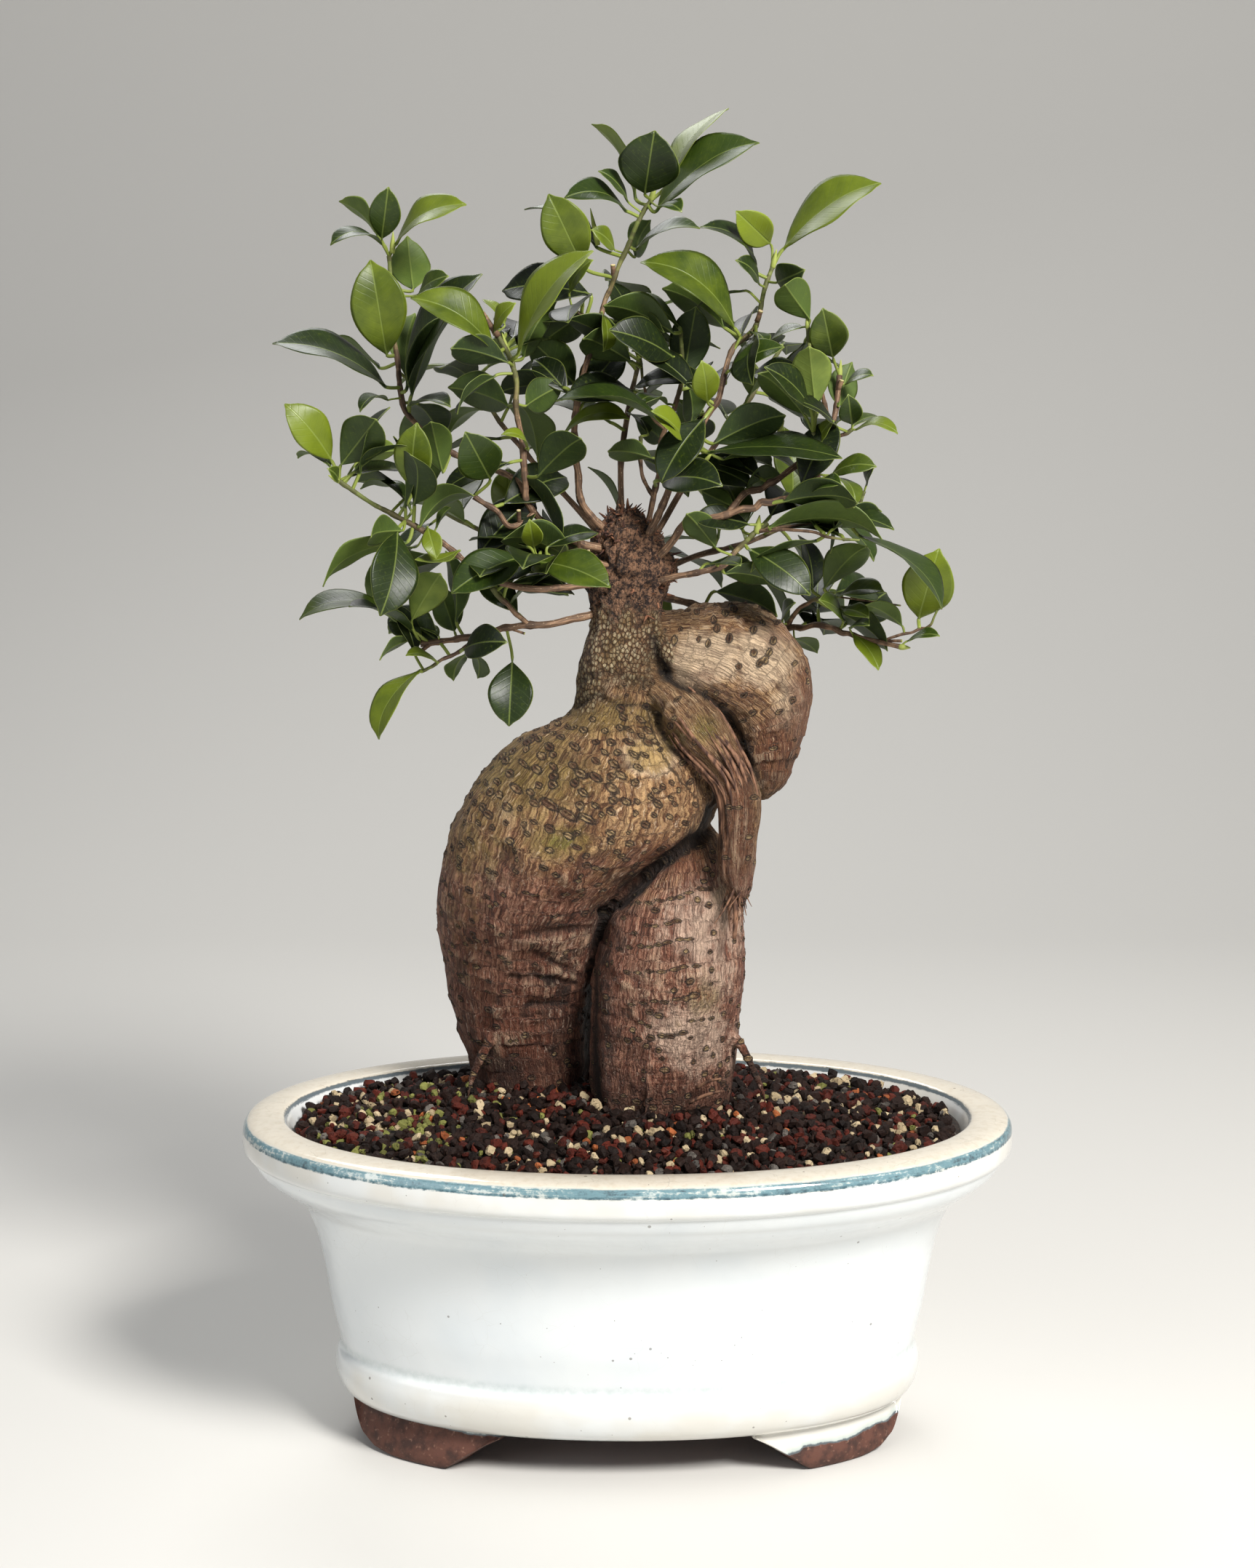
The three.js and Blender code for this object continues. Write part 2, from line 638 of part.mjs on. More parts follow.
        points: [
          [38, 363.6, -20], [44, 371, -16], [52, 374, -14], [57, 377, -13], [66.5, 383.5, -11],
        ],
      },
      { ends: [1.4, 1], points: [[76, 391.5, -9], [80, 393, -11], [84.5, 395, -12]] },
      { ends: [1.4, 1.2], points: [[72.5, 383, -15], [71, 388, -17], [70, 394, -17]] },
    ],
    leaves: [
      [77, 422, -3, 73, 440, -16, 15, 1],
      [82, 412, -1, 92, 415.7, -12, 4, 1],
      [68, 436, -12, 58, 449.5, -26, 14, -1],
      [65.5, 433, -9, 53, 427.5, 2, 3, 1],
      [66, 401, -18, 49, 417, -26, 12, -1],
      [68, 403.5, -22, 51.5, 418.5, -36, 9, 1],
      [70.5, 404, -20, 68, 426, -32, 15, -1],
      [79.5, 404, -6, 84, 420, 8, 12, -1],
      [71.8, 389.5, -14, 77.5, 398.5, -22, 4.5, 1],
      [84.5, 397, -13, 83, 408, -24, 9, 1],
      [86, 395, -13, 102, 393.8, -22, 3.5, 1, 0.18],
      [85, 396.5, -10, 96.5, 399.5, 2, 4, 1],
      [77, 378, -20, 94, 381.5, -30, 7, 1, 0.14],
      [77, 377, -23, 86.5, 366, -36, 4.5, 1, 0.2],
      [70, 371.8, -25, 80.5, 375.3, -40, 4.5, 1],
      [45, 373, -10, 58, 378, 4, 9, -1],
      [40, 366, -18, 28, 372, -9, 9, -1],
    ],
  },
  front_right: {
    paths: [
      {
        ends: [2.2, 1.3],
        points: [
          [6, 336, -3], [12, 338, -9], [25, 341, -14], [36, 344, -16], [42, 350, -15], [48, 356, -14],
          [53, 360, -13],
        ],
      },
      {
        ends: [1.2, 0.9],
        points: [
          [50, 357.5, -13.5], [68, 359, -9], [84, 360, -7], [87, 364, -7], [89.5, 372, -7],
        ],
      },
      {
        ends: [1.1, 0.7],
        points: [
          [49, 357, -14], [60, 357.3, -20], [73, 356.5, -24], [77, 354.2, -26], [88, 353.5, -28],
        ],
      },
    ],
    leaves: [
      [54, 358.5, -18, 98, 356, -30, 9, -1, 0.12],
      [72, 361.5, -11, 101, 357.5, -22, 6, 1, 0.1],
      [88, 355, -10, 122, 329, -30, 6.5, 1],
      [90.5, 375, -8, 93, 381, -20, 4, 1],
      [46, 350, -13, 70, 333, -24, 15, 1],
      [34, 344.2, -20, 43, 344, -34, 3.5, 1],
      [43.5, 357.5, -9, 36.5, 376.5, 6, 12, 1],
      [37, 341, -13, 57, 337, -2, 9, -1],
    ],
  },
  low_right: {
    paths: [
      {
        ends: [2.6, 1.4],
        points: [
          [4, 333, 5], [9, 333, 12], [22, 330, 24], [40, 324.5, 31], [52, 321, 30], [61, 319.5, 23],
          [70, 321, 15], [78, 320, 10], [84, 318, 8], [92.5, 315.5, 4], [104, 313, 0],
        ],
      },
      { ends: [1.5, 1.1], points: [[60, 319.5, 23.5], [66, 328, 16], [73, 331.5, 11], [76.5, 332.5, 9]] },
      {
        ends: [1, 0.7],
        points: [
          [96, 314.3, 2.5], [103, 317.3, 4], [110, 319.6, 4], [115, 321, 2], [118, 327, 0],
        ],
      },
    ],
    leaves: [
      [111, 324, 6, 118, 350, -9, 20, 1],
      [104.5, 321, 5, 90.5, 329, -4, 7, -1],
      [75, 335.5, 8, 91, 352, -8, 13, -1],
      [80, 332, 8, 97.5, 334, -6, 6, 1],
      [86, 317.5, 6, 96, 304, -6, 7, 1],
      [85, 320, 3, 92, 321.5, -10, 3, 1],
      [107, 315.2, 0, 119, 317.5, -8, 3.5, 1],
      [82, 323, 8, 73, 331, -8, 5, 1],
      [82, 327, 4, 92, 324, -8, 6, 1],
      [64, 316, 20, 72.5, 310.5, 30, 6, -1],
      [59, 322, 20, 63.5, 330, 6, 3, 1],
      [34, 334, 22, 58, 325, 8, 13, -1],
    ],
  },
};

// Stems at the back of the tree, where the leaves stand round the outer part of each at the golden angle.
// The points are true x, y and z.
const backSprays = {
  back_left_high: {
    seed: 11,
    count: 9,
    points: [
      [-5, 4, 348], [-9, 11, 353], [-30, 26, 376], [-50, 36, 398], [-62, 42, 420],
    ],
  },
  back_high: {
    seed: 23,
    count: 9,
    points: [
      [-1, 5, 350], [-2, 12, 357], [-2, 34, 388], [4, 48, 418], [8, 52, 442],
    ],
  },
  back_right_high: {
    seed: 37,
    count: 9,
    points: [
      [4, 4, 344], [8, 11, 350], [26, 26, 378], [46, 36, 404], [60, 42, 426],
    ],
  },
  back_left: {
    seed: 41,
    count: 8,
    points: [
      [-6, 5, 338], [-11, 11, 340], [-34, 34, 346], [-58, 50, 354], [-78, 56, 364],
    ],
  },
  back_right: {
    seed: 71,
    count: 8,
    points: [
      [6, 5, 338], [11, 11, 341], [34, 35, 347], [58, 50, 354], [78, 54, 364],
    ],
  },
  back: {
    seed: 67,
    count: 7,
    points: [
      [0, 5, 334], [0, 14, 336], [0, 38, 342], [2, 56, 350],
    ],
  },
};

// The way a leaf's upper face looks: towards the eye or away from it, and always leaning up,
// turned so far about the leaf that its width is seen as given
function upperFace(base, along, share, side) {
  const toEye = eye.clone().sub(base).normalize();
  const facing = toEye.addScaledVector(along, -toEye.dot(along)).normalize();
  const across = new THREE.Vector3().crossVectors(along, facing);
  if (across.z < 0) {
    across.negate();
  }
  return facing.multiplyScalar(share * side).addScaledVector(across, Math.sqrt(1 - share * share));
}

// A leaf on its stalk, as one skin over rings of four points: left edge, upper side, right edge, underside.
// The blade is an oval widest past its middle, folded up along its midrib and arched from base to tip.
function leaf(from, base, tip, face, width, arch) {
  const chord = tip.clone().sub(base);
  const length = chord.length();
  const ahead = chord.clone().normalize();
  const across = new THREE.Vector3().crossVectors(ahead, face);
  const ring = (middle, sideways, up, half, rise, thick) => [
    middle.clone().addScaledVector(sideways, -half).addScaledVector(up, rise),
    middle.clone().addScaledVector(up, thick),
    middle.clone().addScaledVector(sideways, half).addScaledVector(up, rise),
    middle.clone().addScaledVector(up, -thick),
  ];
  const stalkRing = (middle, heading) => {
    let up = face.clone().addScaledVector(heading, -heading.dot(face));
    let sideways = across.clone().addScaledVector(heading, -heading.dot(across));
    if (up.length() > sideways.length()) {
      up.normalize();
      sideways = new THREE.Vector3().crossVectors(heading, up);
    } else {
      sideways.normalize();
      up = new THREE.Vector3().crossVectors(sideways, heading);
    }
    return ring(middle, sideways, up, stalkRadius, 0, stalkRadius);
  };
  const stalk = base.clone().sub(from);
  const rings = [];
  if (stalk.length() > shortestStalk) {
    stalk.normalize();
    rings.push(stalkRing(from, stalk));
    rings.push(stalkRing(base, stalk.clone().add(ahead).normalize()));
  } else {
    rings.push(stalkRing(from.clone().addScaledVector(ahead, -stalkSink), ahead));
  }
  const { places } = leafPlaces.find((row) => length >= row.from);
  for (const t of places) {
    const lift = arch * length * 4 * t * (1 - t);
    const middle = base.clone().addScaledVector(chord, t).addScaledVector(face, lift);
    const half = outlineFit * (width / 2) * Math.sin(Math.PI * t ** 1.15) ** 0.8;
    rings.push(ring(middle, across, face, half, leafFold * half, leafThickness / 2));
  }
  return loft(rings, tip);
}

// The point of a spray's paths that is nearest to a leaf's base
function nearestOnPaths(paths, target) {
  let best = paths[0][0];
  for (const path of paths) {
    for (let i = 0; i < path.length - 1; i += 1) {
      for (let step = 0; step <= 8; step += 1) {
        const p = path[i].clone().lerp(path[i + 1], step / 8);
        if (p.distanceTo(target) < best.distanceTo(target)) {
          best = p;
        }
      }
    }
  }
  return best;
}

function taper([from, to], count) {
  return Array.from({ length: count }, (_, i) => from + ((to - from) * i) / (count - 1));
}

function makeSpray({ paths, leaves }) {
  const lines = paths.map(({ points }) => points.map(([x, z, y]) => seen(x, z, y)));
  let body = null;
  lines.forEach((line, i) => {
    const twig = stem(line, taper(paths[i].ends, line.length), i === 0 ? mainTwigSides : sideTwigSides);
    body = body ? body.add(twig) : twig;
  });
  for (const [bx, bz, by, tx, tz, ty, seenWidth, side, arch = leafArch] of leaves) {
    const base = seen(bx, bz, by);
    const tip = seen(tx, tz, ty);
    const length = base.distanceTo(tip);
    const width = Math.max(leafRatio * length, seenWidth);
    const along = tip.clone().sub(base).normalize();
    const face = upperFace(base, along, seenWidth / width, side);
    body = body.add(leaf(nearestOnPaths(lines, base), base, tip, face, width, arch));
  }
  return body;
}

const goldenAngle = Math.PI * (3 - Math.sqrt(5));

// A stem at the back: its radius at both ends, the share of it below its first leaf, how far a leaf's stalk
// leans along the stem, how far its blade droops and may roll, and the shortest size of each with what a
// random share adds to it
const backStem = {
  ends: [2.4, 1.1],
  bareShare: 0.42,
  lean: 0.45,
  droop: 0.25,
  roll: 0.9,
  stalk: [5, 4],
  blade: [23, 15],
};

function makeBackSpray({ seed, count, points }) {
  const line = points.map(([x, y, z]) => new THREE.Vector3(x, y, z));
  const random = randomFrom(seed);
  const drawn = ([shortest, more]) => shortest + more * random();
  let body = stem(line, taper(backStem.ends, line.length), mainTwigSides);
  const curve = new THREE.CatmullRomCurve3(line);
  for (let i = 0; i < count; i += 1) {
    const share = backStem.bareShare + ((1 - backStem.bareShare) * (i + 1)) / count;
    const from = linePoint(line, share);
    const along = curve.getTangent(Math.min(share, 1));
    const turn = i * goldenAngle + seed;
    const side = new THREE.Vector3(0, 0, 1).cross(along).normalize();
    const up = new THREE.Vector3().crossVectors(along, side);
    const out = side.multiplyScalar(Math.cos(turn)).addScaledVector(up, Math.sin(turn));
    const heading = along.clone().multiplyScalar(backStem.lean).add(out).normalize();
    const stalkLength = drawn(backStem.stalk);
    const length = drawn(backStem.blade);
    const base = from.clone().addScaledVector(heading, stalkLength);
    heading.z -= backStem.droop;
    heading.normalize();
    const tip = base.clone().addScaledVector(heading, length);
    const roll = (random() - 0.5) * backStem.roll;
    const level = new THREE.Vector3(0, 0, 1).cross(heading).normalize();
    const face = new THREE.Vector3().crossVectors(heading, level).multiplyScalar(Math.cos(roll));
    face.addScaledVector(level, Math.sin(roll));
    body = body.add(leaf(from, base, tip, face, leafRatio * length, leafArch));
  }
  return body;
}

// The point a share of the way along a line of points, counted in its stretches
function linePoint(line, share) {
  const place = share * (line.length - 1);
  const i = Math.min(Math.floor(place), line.length - 2);
  return line[i].clone().lerp(line[i + 1], place - i);
}

// Each stem starts at the bark of the stump or the neck, a hair's breadth clear of it
function makeTree() {
  const trunk = makeTrunk();
  const neck = loft(levelRings(growSections(bodySections.slice(-6)), bodySides, 0.6, 0.035));
  const stump = loft(levelRings(growSections(stumpSections), stumpSides, 4.2, 0.12));
  const grown = neck.add(stump);
  const stems = [];
  for (const [name, spray] of Object.entries(sprays)) {
    stems.push([`stem_${name}`, makeSpray(spray).subtract(grown)]);
  }
  for (const [name, spray] of Object.entries(backSprays)) {
    stems.push([`stem_${name}`, makeBackSpray(spray).subtract(grown)]);
  }
  return { trunk, soil: makeSoil(), stems };
}

const bonsai = new THREE.Group();

function place(name, geometry, color, roughness) {
  const mesh = new THREE.Mesh(geometry, new THREE.MeshStandardMaterial({ color, roughness, metalness: 0 }));
  mesh.name = name;
  bonsai.add(mesh);
  return mesh;
}

place("pot", geometryFromSolid(makePot()), glazeColour, 0.25);
for (const [name, x] of [["drain_mesh_left", -drainHoleX], ["drain_mesh_right", drainHoleX]]) {
  const mesh = place(name, geometryFromSolid(makeDrainMesh()), meshColour, 0.6);
  mesh.position.set(x, 0, potFloor + gap + drainMeshThickness / 2);
}
const tree = makeTree();
place("soil", geometryFromSolid(tree.soil), soilColour, 0.95);
place("trunk", geometryFromSolid(tree.trunk), barkColour, 0.85);
for (const [name, body] of tree.stems) {
  place(name, geometryFromSolid(body), leafColour, 0.45);
}

export default bonsai;
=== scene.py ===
import math
from types import SimpleNamespace
import bpy
import numpy as np
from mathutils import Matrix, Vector


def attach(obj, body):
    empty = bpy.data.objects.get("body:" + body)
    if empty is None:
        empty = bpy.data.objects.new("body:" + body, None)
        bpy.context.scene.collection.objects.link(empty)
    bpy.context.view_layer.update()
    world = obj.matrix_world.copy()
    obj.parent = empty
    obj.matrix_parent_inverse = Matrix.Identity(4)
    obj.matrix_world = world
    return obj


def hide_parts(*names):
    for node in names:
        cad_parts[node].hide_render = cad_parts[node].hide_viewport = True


# A ficus ginseng bonsai in an oval glazed pot. Lengths are millimetres until a mesh is made.
# The frame is that of the CAD: +Z up, +X to the right, -Y to the front, the pot's feet on Z = 0.
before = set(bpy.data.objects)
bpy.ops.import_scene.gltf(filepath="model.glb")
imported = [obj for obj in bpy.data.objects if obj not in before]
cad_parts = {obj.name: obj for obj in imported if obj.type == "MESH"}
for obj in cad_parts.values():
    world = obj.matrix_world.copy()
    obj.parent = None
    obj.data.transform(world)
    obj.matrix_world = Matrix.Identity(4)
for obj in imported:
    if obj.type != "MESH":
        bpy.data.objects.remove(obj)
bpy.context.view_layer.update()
scene = bpy.context.scene

# The camera that was fitted to the photo: how far and high it stands, its tilt, and its lens in pixels of
# the photo, whose longer side is the last value
eye = {"distance": 954.2, "height": 410.0, "lookDown": 0.156, "focalPixels": 3450.0, "longSide": 2156}


def makeCamera():
    data = bpy.data.cameras.new("camera")
    data.sensor_width = 36
    data.lens = eye["focalPixels"] / eye["longSide"] * data.sensor_width
    data.clip_end = 20
    camera = bpy.data.objects.new("camera", data)
    camera.location = (0, -eye["distance"] / 1000, eye["height"] / 1000)
    camera.rotation_euler = (math.pi / 2 - eye["lookDown"], 0, 0)
    scene.collection.objects.link(camera)
    scene.camera = camera


makeCamera()
print("camera in place")


# Values side by side along a new last axis, spread to one shape
def together(*values):
    return np.stack(np.broadcast_arrays(*values), -1)


# The point at depth y that the camera sees at (x, z) of the plane y = 0
def seen(x, z, y):
    far = (y + eye["distance"]) / eye["distance"]
    return together(x * far, y, eye["height"] + (z - eye["height"]) * far)


# The other way round: where a point is seen on the plane y = 0
def whereSeen(points):
    far = (points[:, 1] + eye["distance"]) / eye["distance"]
    return points[:, 0] / far, eye["height"] + (points[:, 2] - eye["height"]) / far


# A repeatable number from -1 to 1 for each corner of a lattice, from its whole coordinates
def latticeValue(x, y, z, seed):
    mixed = (x * 73856093) ^ (y * 19349663) ^ (z * 83492791) ^ (seed * 2654435761)
    mixed = ((mixed ^ (mixed >> 13)) * 1274126177) & 0x7FFFFFFF
    mixed = mixed ^ (mixed >> 16)
    return (mixed & 0xFFFFFF) / 0x7FFFFF - 1.0


# Smooth noise from -1 to 1: the eight corner values of a cell, blended with the curve 3t^2 - 2t^3
def noise(points, seed=0):
    cell = np.floor(points).astype(np.int64)
    inside = points - cell
    fade = inside * inside * (3 - 2 * inside)
    total = np.zeros(len(points))
    for corner in range(8):
        step = np.array([corner & 1, (corner >> 1) & 1, corner >> 2])
        share = np.where(step, fade, 1 - fade).prod(1)
        total += share * latticeValue(*(cell + step).T, seed)
    return total


# A smooth curve through rows of numbers: each stretch is a cubic whose slope at a row
# is half the step from the row before to the row after
def smoothRows(rows, steps):
    rows = np.asarray(rows, float)
    ends = 2 * rows[0] - rows[1], 2 * rows[-1] - rows[-2]
    full = np.concatenate([ends[0][None], rows, ends[1][None]])
    a, b, c, d = (part[:, None] for part in (full[:-3], full[1:-2], full[2:-1], full[3:]))
    t = (np.arange(steps) / steps).reshape([1, steps] + [1] * (rows.ndim - 1))
    cubic = 2 * b + (c - a) * t + (2 * a - 5 * b + 4 * c - d) * t**2 + (3 * b - a - 3 * c + d) * t**3
    curve = (cubic / 2).reshape((-1,) + rows.shape[1:])
    return np.concatenate([curve, rows[-1:]])


def unit(vectors):
    return vectors / np.maximum(np.linalg.norm(vectors, axis=-1, keepdims=True), 1e-9)


def dot(a, b):
    return (a * b).sum(-1, keepdims=True)


# A bell: 1 at 0, falling off on both sides
def bell(values):
    return np.exp(-(values**2))


# From 0 below the first value to 1 above the second, with soft ends
def softStep(low, high, values):
    t = np.clip((values - low) / (high - low), 0, 1)
    return t * t * (3 - 2 * t)


# Even angles all round
def turns(count):
    return np.arange(count) * 2 * math.pi / count


# The distance along a line at each of its points
def lengthAlong(line):
    return np.concatenate([[0], np.cumsum(np.linalg.norm(np.diff(line, axis=0), axis=1))])


# Values of rings of points, (pieces, rows, columns, 3), as one list: after each piece's own come
# the middles of its first and last ring
def loftMarks(values):
    count = len(values)
    ends = np.stack([values[:, 0].mean(1), values[:, -1].mean(1)], 1)
    flat = values.reshape((count, -1) + values.shape[3:])
    return np.concatenate([flat, ends], 1).reshape((-1,) + values.shape[3:])


# The same faces, turned over where the volume that they close comes out below zero
def facedOutward(points, faces):
    volume = 0
    for part in faces:
        for k in range(1, part.shape[1] - 1):
            a, b, c = points[part[:, 0]], points[part[:, k]], points[part[:, k + 1]]
            volume += (a * np.cross(b, c)).sum()
    return points, faces if volume > 0 else [part[:, ::-1] for part in faces]


# Skins over such rings, with a fan over each end
def skin(rings):
    count, rows, columns = rings.shape[:3]
    i = np.arange(columns)
    j = (i + 1) % columns
    start = np.arange(rows - 1)[:, None] * columns
    quads = np.stack([start + i, start + j, start + j + columns, start + i + columns], -1).reshape(-1, 4)
    last = (rows - 1) * columns
    middle = np.full(columns, rows * columns)
    fans = np.concatenate([np.stack([middle, j, i], -1), np.stack([middle + 1, last + i, last + j], -1)])
    first = np.arange(count)[:, None, None] * (rows * columns + 2)
    return facedOutward(loftMarks(rings), [(quads + first).reshape(-1, 4), (fans + first).reshape(-1, 3)])


# Several point-and-face sets as one
def joinSets(sets):
    points, faces, first = [], [], 0
    for somePoints, someFaces in sets:
        points.append(somePoints)
        faces += [part + first for part in someFaces]
        first += len(somePoints)
    return np.concatenate(points), faces


def makeMesh(name, points, faces):
    mesh = bpy.data.meshes.new(name)
    sizes = np.concatenate([np.full(len(part), part.shape[1]) for part in faces])
    corners = np.concatenate([part.ravel() for part in faces])
    mesh.vertices.add(len(points))
    mesh.vertices.foreach_set("co", (points / 1000).astype(np.float32).ravel())
    mesh.loops.add(len(corners))
    mesh.loops.foreach_set("vertex_index", corners.astype(np.int32))
    mesh.polygons.add(len(sizes))
    starts = np.concatenate([[0], np.cumsum(sizes)[:-1]])
    mesh.polygons.foreach_set("loop_start", starts.astype(np.int32))
    mesh.update(calc_edges=True)
    mesh.validate()
    return mesh


# Writes named values on a mesh's points: one number each, or three
def mark(mesh, name, *values):
    values = np.asarray(values[0] if len(values) == 1 else together(*values), np.float32)
    kind, key = ("FLOAT", "value") if values.ndim == 1 else ("FLOAT_VECTOR", "vector")
    mesh.attributes.new(name, kind, "POINT").data.foreach_set(key, values.ravel())


def loose(name, points, faces):
    thing = bpy.data.objects.new(name, makeMesh(name, points, faces))
    scene.collection.objects.link(thing)
    return thing


def dress(mesh, material, smooth=True):
    mesh.materials.clear()
    mesh.materials.append(material)
    mesh.polygons.foreach_set("use_smooth", np.full(len(mesh.polygons), smooth))


def place(mesh, nodes, material, smooth=True):
    dress(mesh, material, smooth)
    thing = bpy.data.objects.new(mesh.name, mesh)
    scene.collection.objects.link(thing)
    if nodes:
        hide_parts(*nodes)
    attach(thing, "root")


# The mesh of an object as its modifiers leave it; the object itself goes
def settled(thing, name):
    state = thing.evaluated_get(bpy.context.evaluated_depsgraph_get())
    mesh = bpy.data.meshes.new_from_object(state)
    mesh.name = name
    bpy.data.objects.remove(thing)
    return mesh


def vectorsOf(items, key):
    values = np.empty(len(items) * 3, np.float32)
    items.foreach_get(key, values)
    return values.reshape(-1, 3).astype(float)


# A colour given as it looks, turned into the amounts of light that shaders use
def colour(code):
    parts = [int(code[i:i + 2], 16) / 255 for i in (0, 2, 4)]
    return tuple((p / 12.92 if p < 0.04045 else ((p + 0.055) / 1.055) ** 2.4) for p in parts) + (1.0,)


def colours(codes):
    return SimpleNamespace(**{key: colour(code) for key, code in codes.items()})


# The output of a shader node. Its sums, differences and products are further nodes.
class Value:
    def __init__(self, bench, socket):
        self.bench = bench
        self.socket = socket

    def __add__(self, other):
        return self.bench.math("ADD", self, other)

    def __sub__(self, other):
        return self.bench.math("SUBTRACT", self, other)

    def __mul__(self, other):
        return self.bench.math("MULTIPLY", self, other)


# Puts shader nodes in a tree and joins them up
class Bench:
    def __init__(self, tree):
        self.tree = tree

    def feed(self, socket, value):
        if isinstance(value, Value):
            self.tree.links.new(value.socket, socket)
        else:
            socket.default_value = value

    # A node's first output, or those that are asked for
    def put(self, kind, inputs, *outputs, **settings):
        node = self.tree.nodes.new("ShaderNode" + kind)
        for key, value in settings.items():
            setattr(node, key, value)
        for key, value in inputs.items():
            self.feed(node.inputs[key], value)
        found = [Value(self, node.outputs[key]) for key in outputs or [0]]
        return found if len(found) > 1 else found[0]

    def math(self, operation, a, b=0.0):
        return self.put("Math", {0: a, 1: b}, operation=operation)

    def mix(self, share, a, b):
        return self.put("Mix", {0: share, 6: a, 7: b}, 2, data_type="RGBA")

    def rise(self, value, low, high, fromValue=0.0, toValue=1.0):
        ends = {"Value": value, "From Min": low, "From Max": high, "To Min": fromValue, "To Max": toValue}
        return self.put("MapRange", ends, interpolation_type="SMOOTHSTEP")

    def noise(self, vector, scale, detail=3.0, rough=0.5, output=0):
        ends = {"Vector": vector, "Scale": scale, "Detail": detail, "Roughness": rough}
        return self.put("TexNoise", ends, output)

    def cells(self, vector, scale, *outputs, **settings):
        ends = {"Vector": vector, "Scale": scale, "Randomness": 1.0}
        return self.put("TexVoronoi", ends, *outputs, **settings)

    def stretch(self, vector, x, y, z):
        return self.put("VectorMath", {0: vector, 1: (x, y, z)}, operation="MULTIPLY")

    def shift(self, vector, other):
        return self.put("VectorMath", {0: vector, 1: other}, operation="ADD")

    def parts(self, vector):
        return self.put("SeparateXYZ", {0: vector}, 0, 1, 2)

    def mark(self, name, output="Vector"):
        return self.put("Attribute", {}, output, attribute_name=name)

    def marks(self, name):
        return self.parts(self.mark(name))

    def millimetres(self):
        return self.stretch(self.put("TexCoord", {}, "Object"), 1000, 1000, 1000)

    def use(self, group, **inputs):
        return self.put("Group", inputs, node_tree=group)

    # Joins values to the shader's sockets, with the height as its bump; gives the material
    def finish(self, height=None, strength=0.0, reach=0.0, **sockets):
        if height:
            bump = {"Height": height, "Strength": strength, "Distance": reach / 1000}
            sockets["Normal"] = self.put("Bump", bump)
        for key, value in sockets.items():
            self.feed(self.shader.inputs[key.replace("_", " ")], value)
        return self.material


def newMaterial(name, **fixed):
    material = bpy.data.materials.new(name)
    material.use_nodes = True
    tree = material.node_tree
    tree.nodes.clear()
    bench = Bench(tree)
    bench.material = material
    bench.shader = tree.nodes.new("ShaderNodeBsdfPrincipled")
    tree.links.new(bench.shader.outputs[0], tree.nodes.new("ShaderNodeOutputMaterial").inputs["Surface"])
    bench.finish(**fixed)
    return bench


# A shader group from its named inputs and a call that builds its one output, a mask
def newGroup(name, build, **inputs):
    tree = bpy.data.node_groups.new(name, "ShaderNodeTree")
    for key, value in inputs.items():
        kind = "NodeSocketFloat" if isinstance(value, float) else "NodeSocketVector"
        tree.interface.new_socket(key, in_out="INPUT", socket_type=kind).default_value = value
    tree.interface.new_socket("Mask", in_out="OUTPUT", socket_type="NodeSocketFloat")
    bench = Bench(tree)
    given = tree.nodes.new("NodeGroupInput").outputs
    mask = build(bench, *(Value(bench, given[key]) for key in inputs))
    bench.feed(tree.nodes.new("NodeGroupOutput").inputs["Mask"], mask)
    return tree


# Small round specks, one to a cell, of which only a share is kept
def buildSpecks(bench, vector, scale, size, share):
    far, chance = bench.cells(vector, scale, "Distance", "Color")
    kept, grown = bench.put("SeparateColor", {0: chance}, 0, 1)
    inside = bench.math("LESS_THAN", far, size * (grown + 0.3))
    return inside * bench.math("LESS_THAN", kept, share)


# Thin lines between the cells of a cracked surface
def buildCracks(bench, vector, scale, width):
    wander = bench.noise(vector, 0.35, 2.0, output=1)
    bent = bench.shift(vector, bench.stretch(wander, 1.6, 1.6, 1.6))
    edge = bench.cells(bent, scale, "Distance", feature="DISTANCE_TO_EDGE")
    ends = {"Value": edge, "From Min": 0.0, "From Max": width, "To Min": 1.0, "To Max": 0.0}
    return bench.put("MapRange", ends)


specks = newGroup("specks", buildSpecks, Vector=(0.0, 0.0, 0.0), Scale=1.0, Size=0.2, Share=0.5)
cracks = newGroup("cracks", buildCracks, Vector=(0.0, 0.0, 0.0), Scale=0.2, Width=0.03)


# Floor and light

studio = {
    "floor": "d9d7d2", "floorReach": 3.2, "bendStart": 0.9, "bendRadius": 1.0,
    "world": (0.88, 0.92, 1.0, 1.0), "worldStrength": 0.2,
    # place, aim, width, height, strength in watts, warmth
    "lamps": [
        ((0.72, -1.05, 1.25), (0, 0, 0.2), 0.45, 0.45, 42, (1.0, 0.98, 0.95)),
        ((-1.0, -0.8, 0.8), (0, 0, 0.25), 0.9, 0.9, 3.5, (0.94, 0.97, 1.0)),
        ((-0.3, 0.9, 1.3), (0, 0, 0.35), 0.7, 0.5, 7, (1.0, 1.0, 1.0)),
    ],
}


